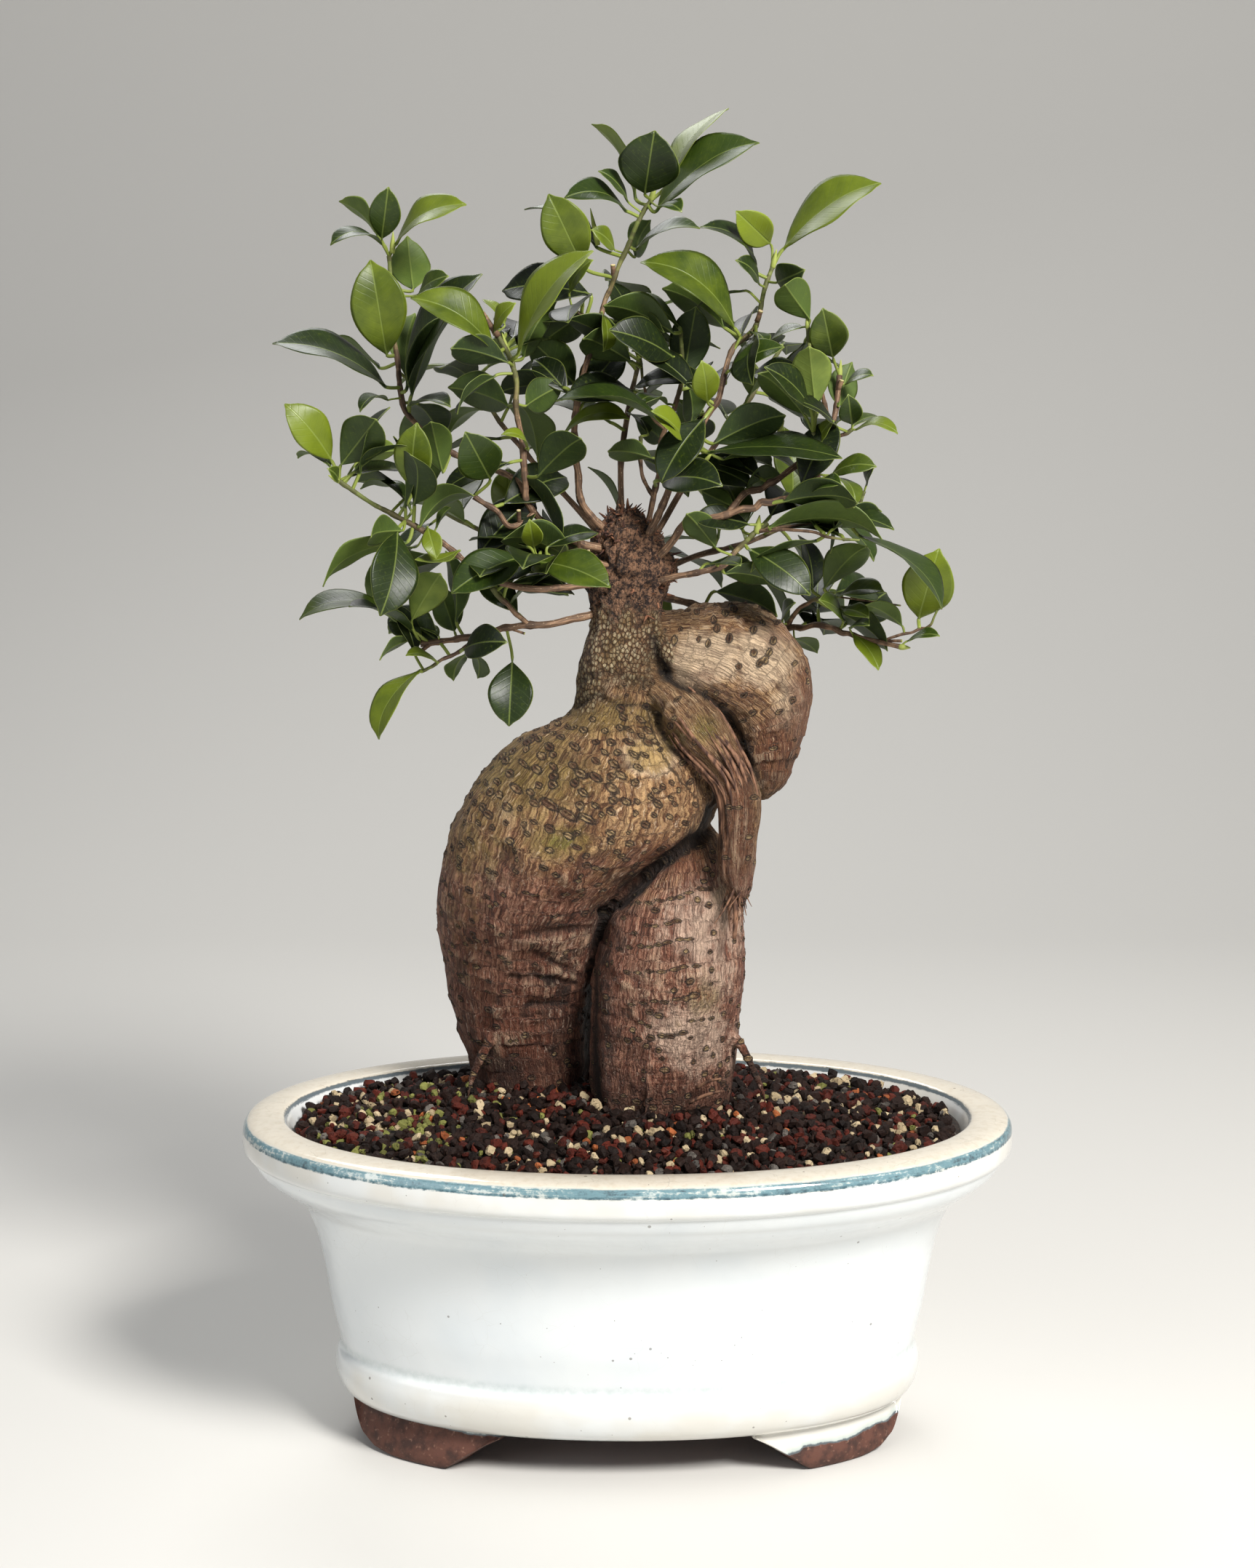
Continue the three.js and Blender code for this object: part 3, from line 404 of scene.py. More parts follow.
# The floor runs level to the bend, then up a quarter circle and on as a wall
def makeFloor():
    start, radius, reach = studio["bendStart"], studio["bendRadius"], studio["floorReach"]
    angle = np.linspace(0, math.pi / 2, 25)
    y = np.concatenate([[-reach], start + radius * np.sin(angle), [start + radius]])
    z = np.concatenate([[0], radius - radius * np.cos(angle), [reach]])
    grid = together(np.array([-reach, reach])[None], y[:, None], z[:, None]).reshape(-1, 3)
    rows = np.arange(len(y) - 1) * 2
    floor = loose("floor", grid * 1000, [np.stack([rows, rows + 1, rows + 3, rows + 2], -1)])
    dress(floor.data, newMaterial("floor", Roughness=0.75, Base_Color=colour(studio["floor"])).material)


def makeLights():
    for number, (spot, aim, width, height, watts, warmth) in enumerate(studio["lamps"]):
        lamp = bpy.data.lights.new(f"lamp{number}", "AREA")
        lamp.shape = "RECTANGLE"
        lamp.size = width
        lamp.size_y = height
        lamp.energy = watts
        lamp.color = warmth
        thing = bpy.data.objects.new(lamp.name, lamp)
        thing.location = spot
        thing.rotation_euler = (Vector(aim) - Vector(spot)).to_track_quat("-Z", "Y").to_euler()
        scene.collection.objects.link(thing)
    world = bpy.data.worlds.new("room")
    world.use_nodes = True
    ground = world.node_tree.nodes["Background"]
    ground.inputs[0].default_value = studio["world"]
    ground.inputs[1].default_value = studio["worldStrength"]
    scene.world = world
    scene.view_settings.view_transform = "Standard"


makeFloor()
makeLights()
print("floor and lights in place")


# Pot

pot = {
    "halfLength": 150.2, "halfDepth": 96.5, "ovalPower": 2.07, "sides": 300,
    "holeRadius": 7.5, "holeX": 58, "drillHeights": (10, 34), "sharpAngle": 50,
    # the range of half-lengths that the pot's points lie within
    "ovalRange": (54.0, 160.0),
    # half-length and height, from under the foot ring up the outside, over the rim and down the inside
    "profile": [
        (98, 15.5), (103.5, 15.6), (107, 16.2), (110.4, 17.7), (113.2, 20.4), (115, 24), (116, 28.2),
        (116, 31.6), (115.3, 34.4), (114.1, 36.4), (113.7, 38), (114.2, 41), (115.4, 46.5), (116.9, 53),
        (118.5, 63), (120.3, 74), (121.8, 81), (123.6, 87), (125.7, 92.6), (128.2, 97.2), (132.2, 101),
        (137, 104.5), (141.4, 107.7), (144.6, 110.8), (146.6, 114), (147.7, 116.4), (149.1, 117.3),
        (150.1, 118.8), (150.5, 121), (150.5, 124.2),
        (150, 127.2), (148.4, 129.2), (145.6, 130.2), (141.5, 130.6), (137, 130.4), (134.6, 129.7),
        (133.2, 127.6), (131.4, 123.8), (126.8, 112.2), (120.8, 98.5), (116.3, 81), (112.2, 63),
        (109.3, 46), (107, 35.5), (103.4, 28.6), (99, 26.2), (93, 26),
    ],
    "rimTop": (149.8, 127.4),
    # along a foot, from -1 at its inner end to 1.3 at its outer end: the height of its lower edge
    "footEdge": [
        (-1, 15), (-0.87, 12), (-0.72, 8), (-0.57, 4), (-0.4, 0), (-0.12, -0.2), (0.15, 0), (0.35, 0.6),
        (0.54, 1.5), (0.72, 3.4), (0.9, 5.8), (1.05, 9.5), (1.19, 14), (1.3, 18.5),
    ],
    "footMiddle": 0.7, "footHalf": 0.42,
    # across a foot: half-length of the pot there, least height, height above the foot's lower edge
    "footSection": [
        (107.1, 17.5, 2), (107.7, 14, 1.4), (109.1, 9.5, 1), (110, 5.5, 0.8), (109.9, 2.4, 0.6),
        (109, 0.6, 0.25), (107, 0, 0), (103, 0, 0), (98, 0, 0), (96, 0, 0.5), (95.2, 0, 2.2),
    ],
    # inside the pot's wall it ends at these two half-lengths and this height
    "footTop": (107.5, 95, 24),
    # the height below which the clay is bare between the feet; the feet lie beyond one half-length and below
    # one height, and what lies within the next half-length and below the next height is all bare
    "bareBelow": 16, "feetFrom": (90, 18.4), "feetInner": (106.4, 16.3),
    # the crease over the belt: its height and half-width, and the half-length that is its least
    "crease": (38, 2.2, 112),
    # the height at which the glaze ends along the left and the right front foot
    "glazeLeft": [(-1, 16), (-0.7, 15.4), (-0.41, 16.4), (-0.15, 16), (0.18, 17), (0.6, 16.2), (1.3, 17)],
    "glazeRight": [(-1, 8), (-0.76, 7.5), (-0.56, 8.5), (-0.52, 9.8), (-0.13, 9.2), (0.02, 9), (0.33, 10.5),
                   (0.55, 11.2), (0.81, 10.2), (1.3, 12)],
}
shorter = pot["halfLength"] - pot["halfDepth"]


# A point of the oval with half-length a, its half-depth less by the same amount all round
def ovalPoint(a, turn):
    power = 2 / pot["ovalPower"]
    c, s = np.cos(turn), np.sin(turn)
    return a * np.sign(c) * np.abs(c) ** power, (a - shorter) * np.sign(s) * np.abs(s) ** power


# The half-length of the oval that a point lies on: halving the range until both sides agree
def ovalThrough(x, y):
    low, high = (np.full(len(x), end) for end in pot["ovalRange"])
    for _ in range(22):
        a = (low + high) / 2
        out = (np.abs(x) / a) ** pot["ovalPower"] + (np.abs(y) / (a - shorter)) ** pot["ovalPower"]
        low, high = np.where(out > 1, a, low), np.where(out > 1, high, a)
    return (low + high) / 2


def turnOf(x, y, a):
    power = pot["ovalPower"] / 2
    return np.arctan2(np.sign(y) * np.abs(y / (a - shorter)) ** power, np.sign(x) * np.abs(x / a) ** power)


def makeFoot(signX, signY):
    edge = smoothRows(pot["footEdge"], 6)
    low = np.maximum(edge[:, 1], 0)
    turn = pot["footMiddle"] - edge[:, 0] * pot["footHalf"]
    section = [together(a, np.maximum(least, low + above)) for a, least, above in pot["footSection"]]
    outside, inside, top = pot["footTop"]
    section = smoothRows([together(outside, 0 * low + top)] + section + [together(inside, 0 * low + top)], 3)
    x, y = ovalPoint(section[..., 0], turn[None])
    rings = np.stack([x * signX, y * signY, np.maximum(section[..., 1], 0)], -1)
    return skin(rings.transpose(1, 0, 2)[None])


def makePotBody():
    profile = smoothRows(pot["profile"], 5)
    # rings of the same height close the underside and the floor
    shares = np.linspace(0.02, 1, 9)[:-1]
    a, z = (np.concatenate([np.full(8, column[0]), column, np.full(8, column[-1])]) for column in profile.T)
    share = np.concatenate([shares, np.ones(len(profile)), shares[::-1]])
    x, y = ovalPoint(a[:, None], turns(pot["sides"])[None])
    body = loose("potBody", *skin(together(x * share[:, None], y * share[:, None], z[:, None])[None]))
    feet = loose("potFeet", *joinSets([makeFoot(i, j) for i in (-1, 1) for j in (-1, 1)]))
    around = turns(48)[None]
    radius, ends = pot["holeRadius"], np.array(pot["drillHeights"])[:, None]
    holes = [skin(together(x + radius * np.cos(around), radius * np.sin(around), ends)[None])
             for x in (-pot["holeX"], pot["holeX"])]
    drill = loose("drill", *joinSets(holes))
    for tool, operation in ((feet, "UNION"), (drill, "DIFFERENCE")):
        cut = body.modifiers.new(tool.name, "BOOLEAN")
        cut.object = tool
        cut.operation = operation
        cut.solver = "MANIFOLD"
    mesh = settled(body, "pot")
    bpy.data.objects.remove(feet)
    bpy.data.objects.remove(drill)
    return mesh, profile


# The distance along the profile from the rim's outer edge, positive over the rim and down the inside
def profilePlace(a, z, profile):
    length = lengthAlong(profile)
    rim = np.linalg.norm(profile - np.array(pot["rimTop"]), axis=1).argmin()
    spots = np.stack([a, z], -1)
    nearest = np.empty(len(spots), int)
    for first in range(0, len(spots), 4000):
        part = spots[first:first + 4000, None] - profile[None]
        nearest[first:first + 4000] = (part**2).sum(-1).argmin(1)
    return length[nearest] - length[rim]


# How far a point lies below the glaze's edge: positive where the clay is bare
def bareClay(points, a, turn):
    across = np.abs(np.abs(turn) - math.pi / 2)
    spot = np.clip((pot["footMiddle"] - (math.pi / 2 - across)) / pot["footHalf"], -1, 1.3)
    left, right = (np.interp(spot, *np.array(pot[key]).T) for key in ("glazeLeft", "glazeRight"))
    line = np.where(points[:, 0] < 0, left, right)
    foot = (a > pot["feetFrom"][0]) & (points[:, 2] < pot["feetFrom"][1])
    below = np.where(foot, line, pot["bareBelow"]) - points[:, 2]
    inner = (a < pot["feetInner"][0]) & (points[:, 2] < pot["feetInner"][1])
    return np.where(inner, np.maximum(below, 2.0), below)


def makePot():
    mesh, profile = makePotBody()
    points = vectorsOf(mesh.vertices, "co") * 1000
    x, y, z = points.T
    a = ovalThrough(x, y)
    turn = turnOf(x, y, a)
    mark(mesh, "bare", bareClay(points, a, turn))
    mark(mesh, "around", 150 * np.cos(turn), 150 * np.sin(turn), profilePlace(a, z, profile))
    height, wide, least = pot["crease"]
    mark(mesh, "out", bell((z - height) / wide) * (a > least))
    mesh.set_sharp_from_angle(angle=math.radians(pot["sharpAngle"]))
    place(mesh, ["pot"], glazeMaterial())


glazeLook = {
    "body": "e3e7e8", "bodyDeep": "dbe1e4", "cream": "d9d1c1", "creamDeep": "cec3b0", "blue": "5f8690",
    "blueDeep": "24404d", "bluePale": "9fb3b0", "crack": "a8a090", "speck": "564c42", "clay": "5e3a2e",
    "clayPale": "83604f", "clayDark": "3d261f", "navy": "1d2b3c",
}


def glazeMaterial():
    look = colours(glazeLook)
    bench = newMaterial("glaze", IOR=1.5, Coat_Weight=0.35, Coat_Roughness=0.06)
    mix, rise, noise = bench.mix, bench.rise, bench.noise
    where, around = bench.millimetres(), bench.mark("around")
    rim, height = bench.parts(around)[2], bench.parts(where)[2]
    cloud, grain = noise(where, 0.03), noise(where, 0.35, 4.0, 0.6)
    tint = mix(rise(cloud, 0.4, 0.8), look.body, look.bodyDeep)
    # thin warm glaze on the rolls of the belt and the rim
    rolls = bench.math("MAXIMUM", rise(height, 40.0, 30.0), rise(height, 114.0, 122.0))
    tint = mix(rolls * rise(cloud, 0.35, 0.6, 0.15, 0.6), tint, look.cream)
    # the warm top of the rim, then the blue bands brushed beside it
    dry = noise(bench.stretch(around, 0.045, 0.045, 0.9), 1.0, 5.0, 0.7)
    daub = noise(bench.stretch(around, 0.35, 0.35, 0.5), 1.0, 4.0, 0.7)
    edge = rim + (dry - 0.5) * 1.8 + (daub - 0.5) * 1.2
    onTop = rise(edge, 0.6, 2.6) * rise(rim, 17.4, 16.4)
    tint = mix(onTop, tint, mix(rise(grain, 0.4, 0.8), look.cream, look.creamDeep))
    thick = daub * 0.6 + dry * 0.55 + (noise(around, 0.02, 2.0) - 0.5) * 0.4
    paint = mix(rise(thick, 0.46, 0.56), look.bluePale, look.blue)
    paint = mix(rise(thick, 0.6, 0.78), paint, look.blueDeep)
    band = rise(edge, -2.6, -1.9) * rise(edge, 1.9, 1.2)
    tint = mix(band * rise(thick, 0.42, 0.58, 0.4, 0.92), tint, paint)
    # the paint ran to a darker line at the band's lower edge
    line = rise(edge, -2.6, -2.1) * rise(edge, -1.1, -1.7)
    tint = mix(line * rise(daub, 0.4, 0.6, 0.1, 0.6), tint, look.blueDeep)
    lip = rise(edge, 16.0, 16.7) * rise(edge, 18.6, 17.8)
    tint = mix(lip * 0.85, tint, look.blueDeep)
    lines = bench.use(cracks, Vector=where, Scale=0.12, Width=0.016)
    patchy = rise(noise(where, 0.05, 2.0), 0.45, 0.65)
    tint = mix(lines * (patchy * (onTop * 0.4 + 0.12)), tint, look.crack)
    dots = bench.use(specks, Vector=where, Scale=0.13, Size=0.07, Share=0.3)
    tiny = bench.use(specks, Vector=where, Scale=0.4, Size=0.09, Share=0.1)
    spots = bench.math("MAXIMUM", dots, tiny) * 0.6
    tint = mix(spots, tint, look.speck)
    # the glaze gathers blue in the creases and to a dark line where it stops; the clay below it is bare
    crease = rise(bench.mark("out", "Fac"), 0.0, 1.0) * rise(grain, 0.3, 0.7, 0.1, 0.35)
    tint = mix(crease, tint, look.bluePale)
    below = bench.mark("bare", "Fac") + (noise(where, 0.28) - 0.5) * 1.8
    tint = mix(rise(below, -3.2, -0.8) * 0.55, tint, look.bluePale)
    tint = mix(rise(below, -0.9, -0.25) * 0.8, tint, look.navy)
    clay = mix(rise(noise(where, 0.16, 4.0, 0.6), 0.35, 0.6), look.clayDark, look.clay)
    clay = mix(rise(noise(where, 0.5), 0.58, 0.75), clay, look.clayPale)
    isClay = rise(below, -0.1, 0.35)
    relief = noise(where, 0.07, 2.0) * 1.6 + spots * -0.2 + noise(where, 1.4) * rise(isClay, 0, 1, 0.01, 0.35)
    return bench.finish(relief, 0.5, 0.45, Base_Color=mix(isClay, tint, clay),
                        Roughness=rise(grain, 0.3, 0.8, 0.1, 0.2) + isClay * 0.6,
                        Coat_Weight=rise(isClay, 0.0, 1.0, 0.35, 0.0))


makePot()
print("pot made")


def dressDrainMeshes():
    bench = newMaterial("meshPlastic", Roughness=0.55, IOR=1.45)
    fleck = bench.noise(bench.millimetres(), 0.8)
    plastic = bench.finish(Base_Color=bench.mix(fleck, colour("1d201f"), colour("2f3532")))
    for name in ("drain_mesh_left", "drain_mesh_right"):
        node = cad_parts[name]
        node.data.materials.clear()
        node.data.materials.append(plastic)


dressDrainMeshes()
print("drain meshes dressed")


# Soil: a closed dark bed under loose grains

soil = {
    "edgeHeight": 126, "mound": 8, "reach": 0.86, "bedBelow": 1.3, "bottom": 27.8,
    "innerWall": [(26, 99), (34, 107), (62, 112), (98, 120.5), (126.5, 131.5)],
    "wallGap": 0.45, "grainGap": 2.1, "grid": (126, 76), "seed": 5,
    # two layers of grains: how far apart they are and how far above the mound
    "layers": [(3.8, -0.9), (4.8, 0.9)],
    # the oval places where the legs stand: middle x and y, half-width, half-depth
    "legs": [(-39.5, 40, 18, 19), (13.5, 8, 26.5, 24)],
    # moss grows on grains round this place, x and y, with these half-widths, and on that share at its middle
    "moss": (-88, -18, 34, 40), "mossShare": 0.24,
    # colour class: share of the grains, smallest and largest size
    "kinds": {
        "lava": (0.58, 3.1, 5.9), "redLava": (0.24, 3.0, 5.6), "pumice": (0.085, 2.8, 5.0),
        "greyStone": (0.05, 2.8, 4.8), "clayBall": (0.025, 2.8, 4.6), "moss": (0.01, 2.6, 4.4),
    },
}


# The mound of the soil with its shallow humps
def soilTop(x, y):
    out = np.hypot(x / pot["halfLength"], y / pot["halfDepth"])
    mound = soil["mound"] * np.maximum(0, 1 - (out / soil["reach"]) ** 2)
    humps = 0.9 * np.sin(x * 0.21 + 1.3) * np.cos(y * 0.24 - 0.4)
    return soil["edgeHeight"] + mound + humps + 0.6 * np.sin(x * 0.43 + y * 0.37)


def innerWall(z):
    return np.interp(z, *np.array(soil["innerWall"]).T)


def makeSoilBed():
    z = np.concatenate([[soil["bottom"]], np.linspace(soil["bottom"], soil["edgeHeight"] - 1.5, 14)])
    half = innerWall(z) - soil["wallGap"]
    share = np.concatenate([[0.5], np.ones(14)])[:, None]
    x, y = ovalPoint(half[:, None], turns(160)[None])
    side = together(x * share, y * share, z[:, None])
    inward = np.linspace(0.98, 0.03, 40)[:, None]
    x, y = x[-1:] * inward, y[-1:] * inward
    over = np.stack([x, y, soilTop(x, y) - soil["bedBelow"]], -1)
    mesh = makeMesh("soilBed", *skin(np.concatenate([side, over])[None]))
    bench = newMaterial("soilBed", Roughness=0.95)
    where = bench.millimetres()
    share = bench.rise(bench.noise(where, 0.5, 4.0), 0.35, 0.65)
    tint = bench.mix(share, colour("15100d"), colour("33261d"))
    material = bench.finish(bench.noise(where, 0.9, 4.0), 0.8, 1.0, Base_Color=tint)
    place(mesh, ["soil"], material)


# A grain before it is broken: a cube of 3 x 3 points a side blown up to a ball, 26 points and 48 faces
def roundedCube():
    steps = (-1, 0, 1)
    spots = [(x, y, z) for x in steps for y in steps for z in steps if (x, y, z) != (0, 0, 0)]
    index = {spot: i for i, spot in enumerate(spots)}
    faces = []
    for axis in range(3):
        for level in (-1, 1):
            for u, v in ((-1, -1), (-1, 0), (0, -1), (0, 0)):
                square = []
                for du, dv in ((0, 0), (1, 0), (1, 1), (0, 1)):
                    spot = [0, 0, 0]
                    spot[axis], spot[(axis + 1) % 3], spot[(axis + 2) % 3] = level, u + du, v + dv
                    square.append(index[tuple(spot)])
                square = square if level > 0 else square[::-1]
                faces += [square[:3], [square[0], square[2], square[3]]]
    spots = np.array(spots, float)
    return unit(spots) * 0.85 + spots * 0.15, np.array(faces)


# Where the grains lie: a jittered grid inside the pot's wall and clear of the legs
def grainSpots(random, pitch, lift):
    x, y = (np.arange(-reach, reach, step) for reach, step in zip(soil["grid"], (pitch, pitch * 0.9)))
    x, y = np.meshgrid(x, y, indexing="ij")
    x = (x + random.uniform(-0.5, 0.5, x.shape) * pitch).ravel()
    y = y.ravel() + random.uniform(-0.5, 0.5, y.shape).ravel() * pitch
    keep = ovalThrough(x, y) < innerWall(soil["edgeHeight"]) - soil["grainGap"]
    for middle, depth, wide, deep in soil["legs"]:
        keep &= ((x - middle) / wide) ** 2 + ((y - depth) / deep) ** 2 > 1
    x, y = x[keep], y[keep]
    return np.stack([x, y, soilTop(x, y) + lift + random.uniform(-0.7, 0.5, len(x))], -1)


def makeGrains():
    random = np.random.default_rng(soil["seed"])
    spots = np.concatenate([grainSpots(random, pitch, lift) for pitch, lift in soil["layers"]])
    count = len(spots)
    ball, faces = roundedCube()
    kinds = list(soil["kinds"])
    share, least, most = np.array(list(soil["kinds"].values())).T
    kind = random.choice(len(kinds), count, p=share / share.sum())
    x, y, wide, deep = soil["moss"]
    mossy = np.exp(-(((spots[:, 0] - x) / wide) ** 2) - ((spots[:, 1] - y) / deep) ** 2)
    kind = np.where(random.uniform(0, 1, count) < soil["mossShare"] * mossy, kinds.index("moss"), kind)
    least, most = least[kind], most[kind]
    size = (least + (most - least) * random.uniform(0, 1, count) ** 1.3) / 2
    size = size * np.where(random.uniform(0, 1, count) < 0.05, 1.3, 1)
    shape = np.repeat(ball[None], count, 0) * random.uniform(0.86, 1.14, (count, len(ball), 1))
    # broken faces: what lies beyond a plane is pressed back onto it
    for _ in range(6):
        flat = unit(random.normal(size=(count, 1, 3)))
        over = dot(shape, flat) - random.uniform(0.5, 0.85, (count, 1, 1))
        shape = shape - np.maximum(over, 0) * flat
    shape = shape * (size[:, None] * random.uniform(0.68, 1.22, (count, 3)))[:, None]
    ahead = unit(random.normal(size=(count, 3)))
    aside = unit(np.cross(ahead, random.normal(size=(count, 3))))
    turned = np.stack([ahead, aside, np.cross(ahead, aside)], 1)
    shape = np.einsum("nki,nij->nkj", shape, turned) + spots[:, None]
    tone = random.uniform(0, 1, count)
    material = grainMaterial()
    for number, name in enumerate(kinds):
        chosen = kind == number
        amount = int(chosen.sum())
        first = np.arange(amount)[:, None, None] * len(ball)
        mesh = makeMesh("grains_" + name, shape[chosen].reshape(-1, 3), [(faces + first).reshape(-1, 3)])
        values = together(number / 10, tone[chosen], random.uniform(0, 1, amount))
        mark(mesh, "grain", np.repeat(values, len(ball), 0))
        place(mesh, None, material, smooth=False)
    return count


grainLook = {
    "lava": ("0b0705", "27150e"), "redLava": ("2a0f09", "5f2418"), "pumice": ("8f7c5e", "d0bc98"),
    "greyStone": ("35312e", "6d665f"), "clayBall": ("6a361c", "b0653a"), "moss": ("45441f", "8b8c4a"),
}


def grainMaterial():
    bench = newMaterial("grains", IOR=1.3, Roughness=0.7)
    where = bench.millimetres()
    kind, tone, _ = bench.marks("grain")
    pores = bench.noise(where, 0.95, 4.0, 0.65)
    share = tone * 0.6 + pores * 0.4
    tint, *others = (bench.mix(share, colour(dark), colour(light)) for dark, light in grainLook.values())
    for number, shade in enumerate(others, 1):
        tint = bench.mix(bench.math("GREATER_THAN", kind, number / 10 - 0.05), tint, shade)
    dust = bench.rise(bench.noise(where, 0.25), 0.55, 0.75)
    tint = bench.mix(dust * 0.12, tint, colour("5f4632"))
    # the dark pits: painted shade in the pores
    holes = bench.rise(pores, 0.32, 0.42)
    return bench.finish(pores + holes * 0.5, 0.8, 0.5, Base_Color=bench.mix(holes, colour("120d0b"), tint))


makeSoilBed()
print("soil bed and", makeGrains(), "grains made")


# Trunk, in sections as they are seen: height, left side, right side, depth of the middle,
# half-thickness from front to back

trunk = {
    "voxel": 1.14,
    # the heights between which the skin turns shaggy, those where scraps begin, and the x where they end
    "shagFrom": (318, 330), "scrapsFrom": (320, 331), "scrapsSide": (24, 18),
    # the radius that straightened limbs have for their grain, and how far each is moved along from the next
    "grainRadius": 22, "grainStep": 150,
    "body": [
        (72, -43, -31, 40, 5), (100, -50, -24, 40, 13), (128, -57, -17, 40, 19),
        (150, -61.5, -13.5, 38, 22.5), (163, -66, -12.5, 36, 25), (177, -69.5, -11.5, 32, 27),
        (195, -72.2, -9.5, 25, 29), (208, -73.5, -8, 18, 31), (221, -72.5, 0, 11, 34),
        (232, -71, 14.5, 6, 35.5), (241.5, -69, 30, 3, 35.5), (250, -65.5, 34, 1, 34),
        (258, -61, 34.5, 0, 32), (266, -54.5, 32.5, 0, 29.5), (273, -47.5, 27, 0, 26),
        (279, -39, 21, 0, 22), (284, -28.5, 17.5, 0, 17.5), (290, -21, 14, 0, 14.5),
        (302, -19.5, 10.5, 0, 13.5), (312, -17, 12, 0, 13.5), (322, -13.5, 13.5, 0, 12.5),
        (331, -12, 11.5, 0, 11.5),
    ],
    "leg": [
        (70, 8, 18, 9, 5), (98, 0, 29, 9, 14), (118, -8, 36, 9, 21), (133, -13.5, 40, 8, 25),
        (150, -15, 42.2, 7, 26.5), (170, -14.5, 43.7, 6, 27), (186, -13.5, 45.7, 5, 26.5),
        (197, -11, 45.3, 5, 26), (208, -7.5, 44, 5, 25), (217, -2, 43, 5, 23), (226, 6, 40.5, 6, 20),
        (236, 12, 36.5, 7, 15), (247, 15, 30, 8, 8),
    ],
    "stump": [
        (322, -12, 11, 0, 11), (334, -13, 13, 1, 12), (342, -14, 17, 1, 13), (349, -13, 14.5, 1, 12.5),
        (356, -10.5, 10, 1, 10.5), (361.5, -6.5, 5.5, 1, 7), (364.5, -3, 2, 1, 3),
    ],
    # middle x and z, half-width across its path in the view, depth of the middle, half-thickness
    "bulb": [
        (2, 314, 8, 2, 8), (10, 314, 11.5, 3, 12), (20, 312, 15.3, 4, 17), (31, 309.5, 20, 5, 20),
        (42, 306, 22.5, 6, 22), (50, 298.5, 21, 7, 21), (53.3, 287, 16.8, 7, 17), (53.9, 274, 12.8, 6, 12.5),
        (53.2, 262, 7.6, 4, 7.5), (51.5, 254.5, 2, 3, 2.5),
    ],
    # middle x and z, depth, radius
    "hangingRoot": [
        (8, 300, -3, 6), (16, 295, -7, 8), (22.5, 287, -10, 9.8), (28.5, 279, -12, 10.4), (35.5, 270, -14, 9),
        (40.5, 262, -16, 8), (43, 252, -17, 7.8), (42.5, 240, -18, 6.9), (42, 228, -18, 6.2),
        (43.5, 220, -18, 4), (43.8, 212, -18, 1.5),
    ],
    "rootlets": [
        [(40, 222, -18, 1.1), (42, 210, -21, 1), (41.5, 199, -23.5, 0.8)],
        [(38, 164, -4, 1.8), (44.5, 156, -5, 1.5), (49.5, 146, -6, 1.3), (53.5, 136, -6, 1),
         (55, 126, -6, 0.8)],
        [(8, 148, -17, 1.6), (8.5, 139, -20, 1.3), (7.3, 130, -22, 1.1), (6, 122, -23, 0.8)],
        [(-50, 166, 14, 1.8), (-55, 156, 12, 1.5), (-60, 146, 12, 1.3), (-63, 134, 13, 0.9)],
    ],
    # the lines that the limbs grow along, as seen, with the depth and the limb's radius there
    "grain": {
        "body": [(0, 345, 0, 12), (-2, 318, 0, 13), (-5, 300, 0, 14), (-14, 284, 0, 18), (-26, 266, 0, 27),
                 (-36, 246, 2, 34), (-41, 225, 9, 34), (-43, 205, 18, 31), (-43, 185, 28, 28),
                 (-41, 160, 36, 24), (-39, 130, 40, 19), (-38, 80, 40, 9)],
        "leg": [(22, 252, 7, 10), (20, 232, 6, 16), (18, 212, 5, 24), (16, 190, 5, 29), (14, 160, 6, 28),
                (14, 130, 8, 26), (13, 80, 9, 9)],
        "bulb": [(-4, 315, 2, 9), (10, 314, 3, 12), (24, 311.5, 4, 17), (38, 307.5, 6, 22), (49, 299, 7, 21),
                 (54, 287, 7, 16), (55, 272, 6, 11), (52, 254, 3, 4)],
        "hangingRoot": [(8, 300, -3, 6), (16, 295, -7, 8), (22.5, 287, -10, 9.8), (28.5, 279, -12, 10.4),
                        (35.5, 270, -14, 9), (40.5, 262, -16, 8), (43, 252, -17, 7.8), (42, 228, -18, 6),
                        (44, 210, -18, 2)],
        "stump": [(0, 322, 0, 11), (1, 342, 1, 14), (0, 366, 1, 8)],
    },
}


# The swelling of the bark round a section: shallow buttresses that run along the limb
def buttress(turn, z, seed, depth):
    broad = np.sin(3 * turn + seed + z * 0.021)
    narrow = np.sin(5 * turn - seed * 2 - z * 0.034)
    return 1 + depth * (broad + 0.6 * narrow)


def levelRings(sections, steps, sides, seed, depth):
    z, left, right, y, thick = (part[:, None] for part in smoothRows(sections, steps).T)
    turn = turns(sides)[None]
    half = (right - left) / 2 * (y + eye["distance"]) / eye["distance"]
    swell = buttress(turn, z, seed, depth * np.abs(np.sin(turn)))
    ring = together(half * np.cos(turn) * swell, thick * np.sin(turn) * swell, 0)
    return (seen((left + right) / 2, z, y) + ring)[None]


def bentRings(sections, steps, sides):
    rows = smoothRows(sections, steps)
    x, z, half, y, thick = (part[:, None] for part in rows.T)
    turn = turns(sides)[None]
    slope = np.gradient(rows[:, :2], axis=0)
    across = unit(together(-slope[:, 1], 0, slope[:, 0]))[:, None]
    ring = across * (half * np.cos(turn))[..., None] + together(0, thick * np.sin(turn), 0)
    return (seen(x, z, y) + ring)[None]


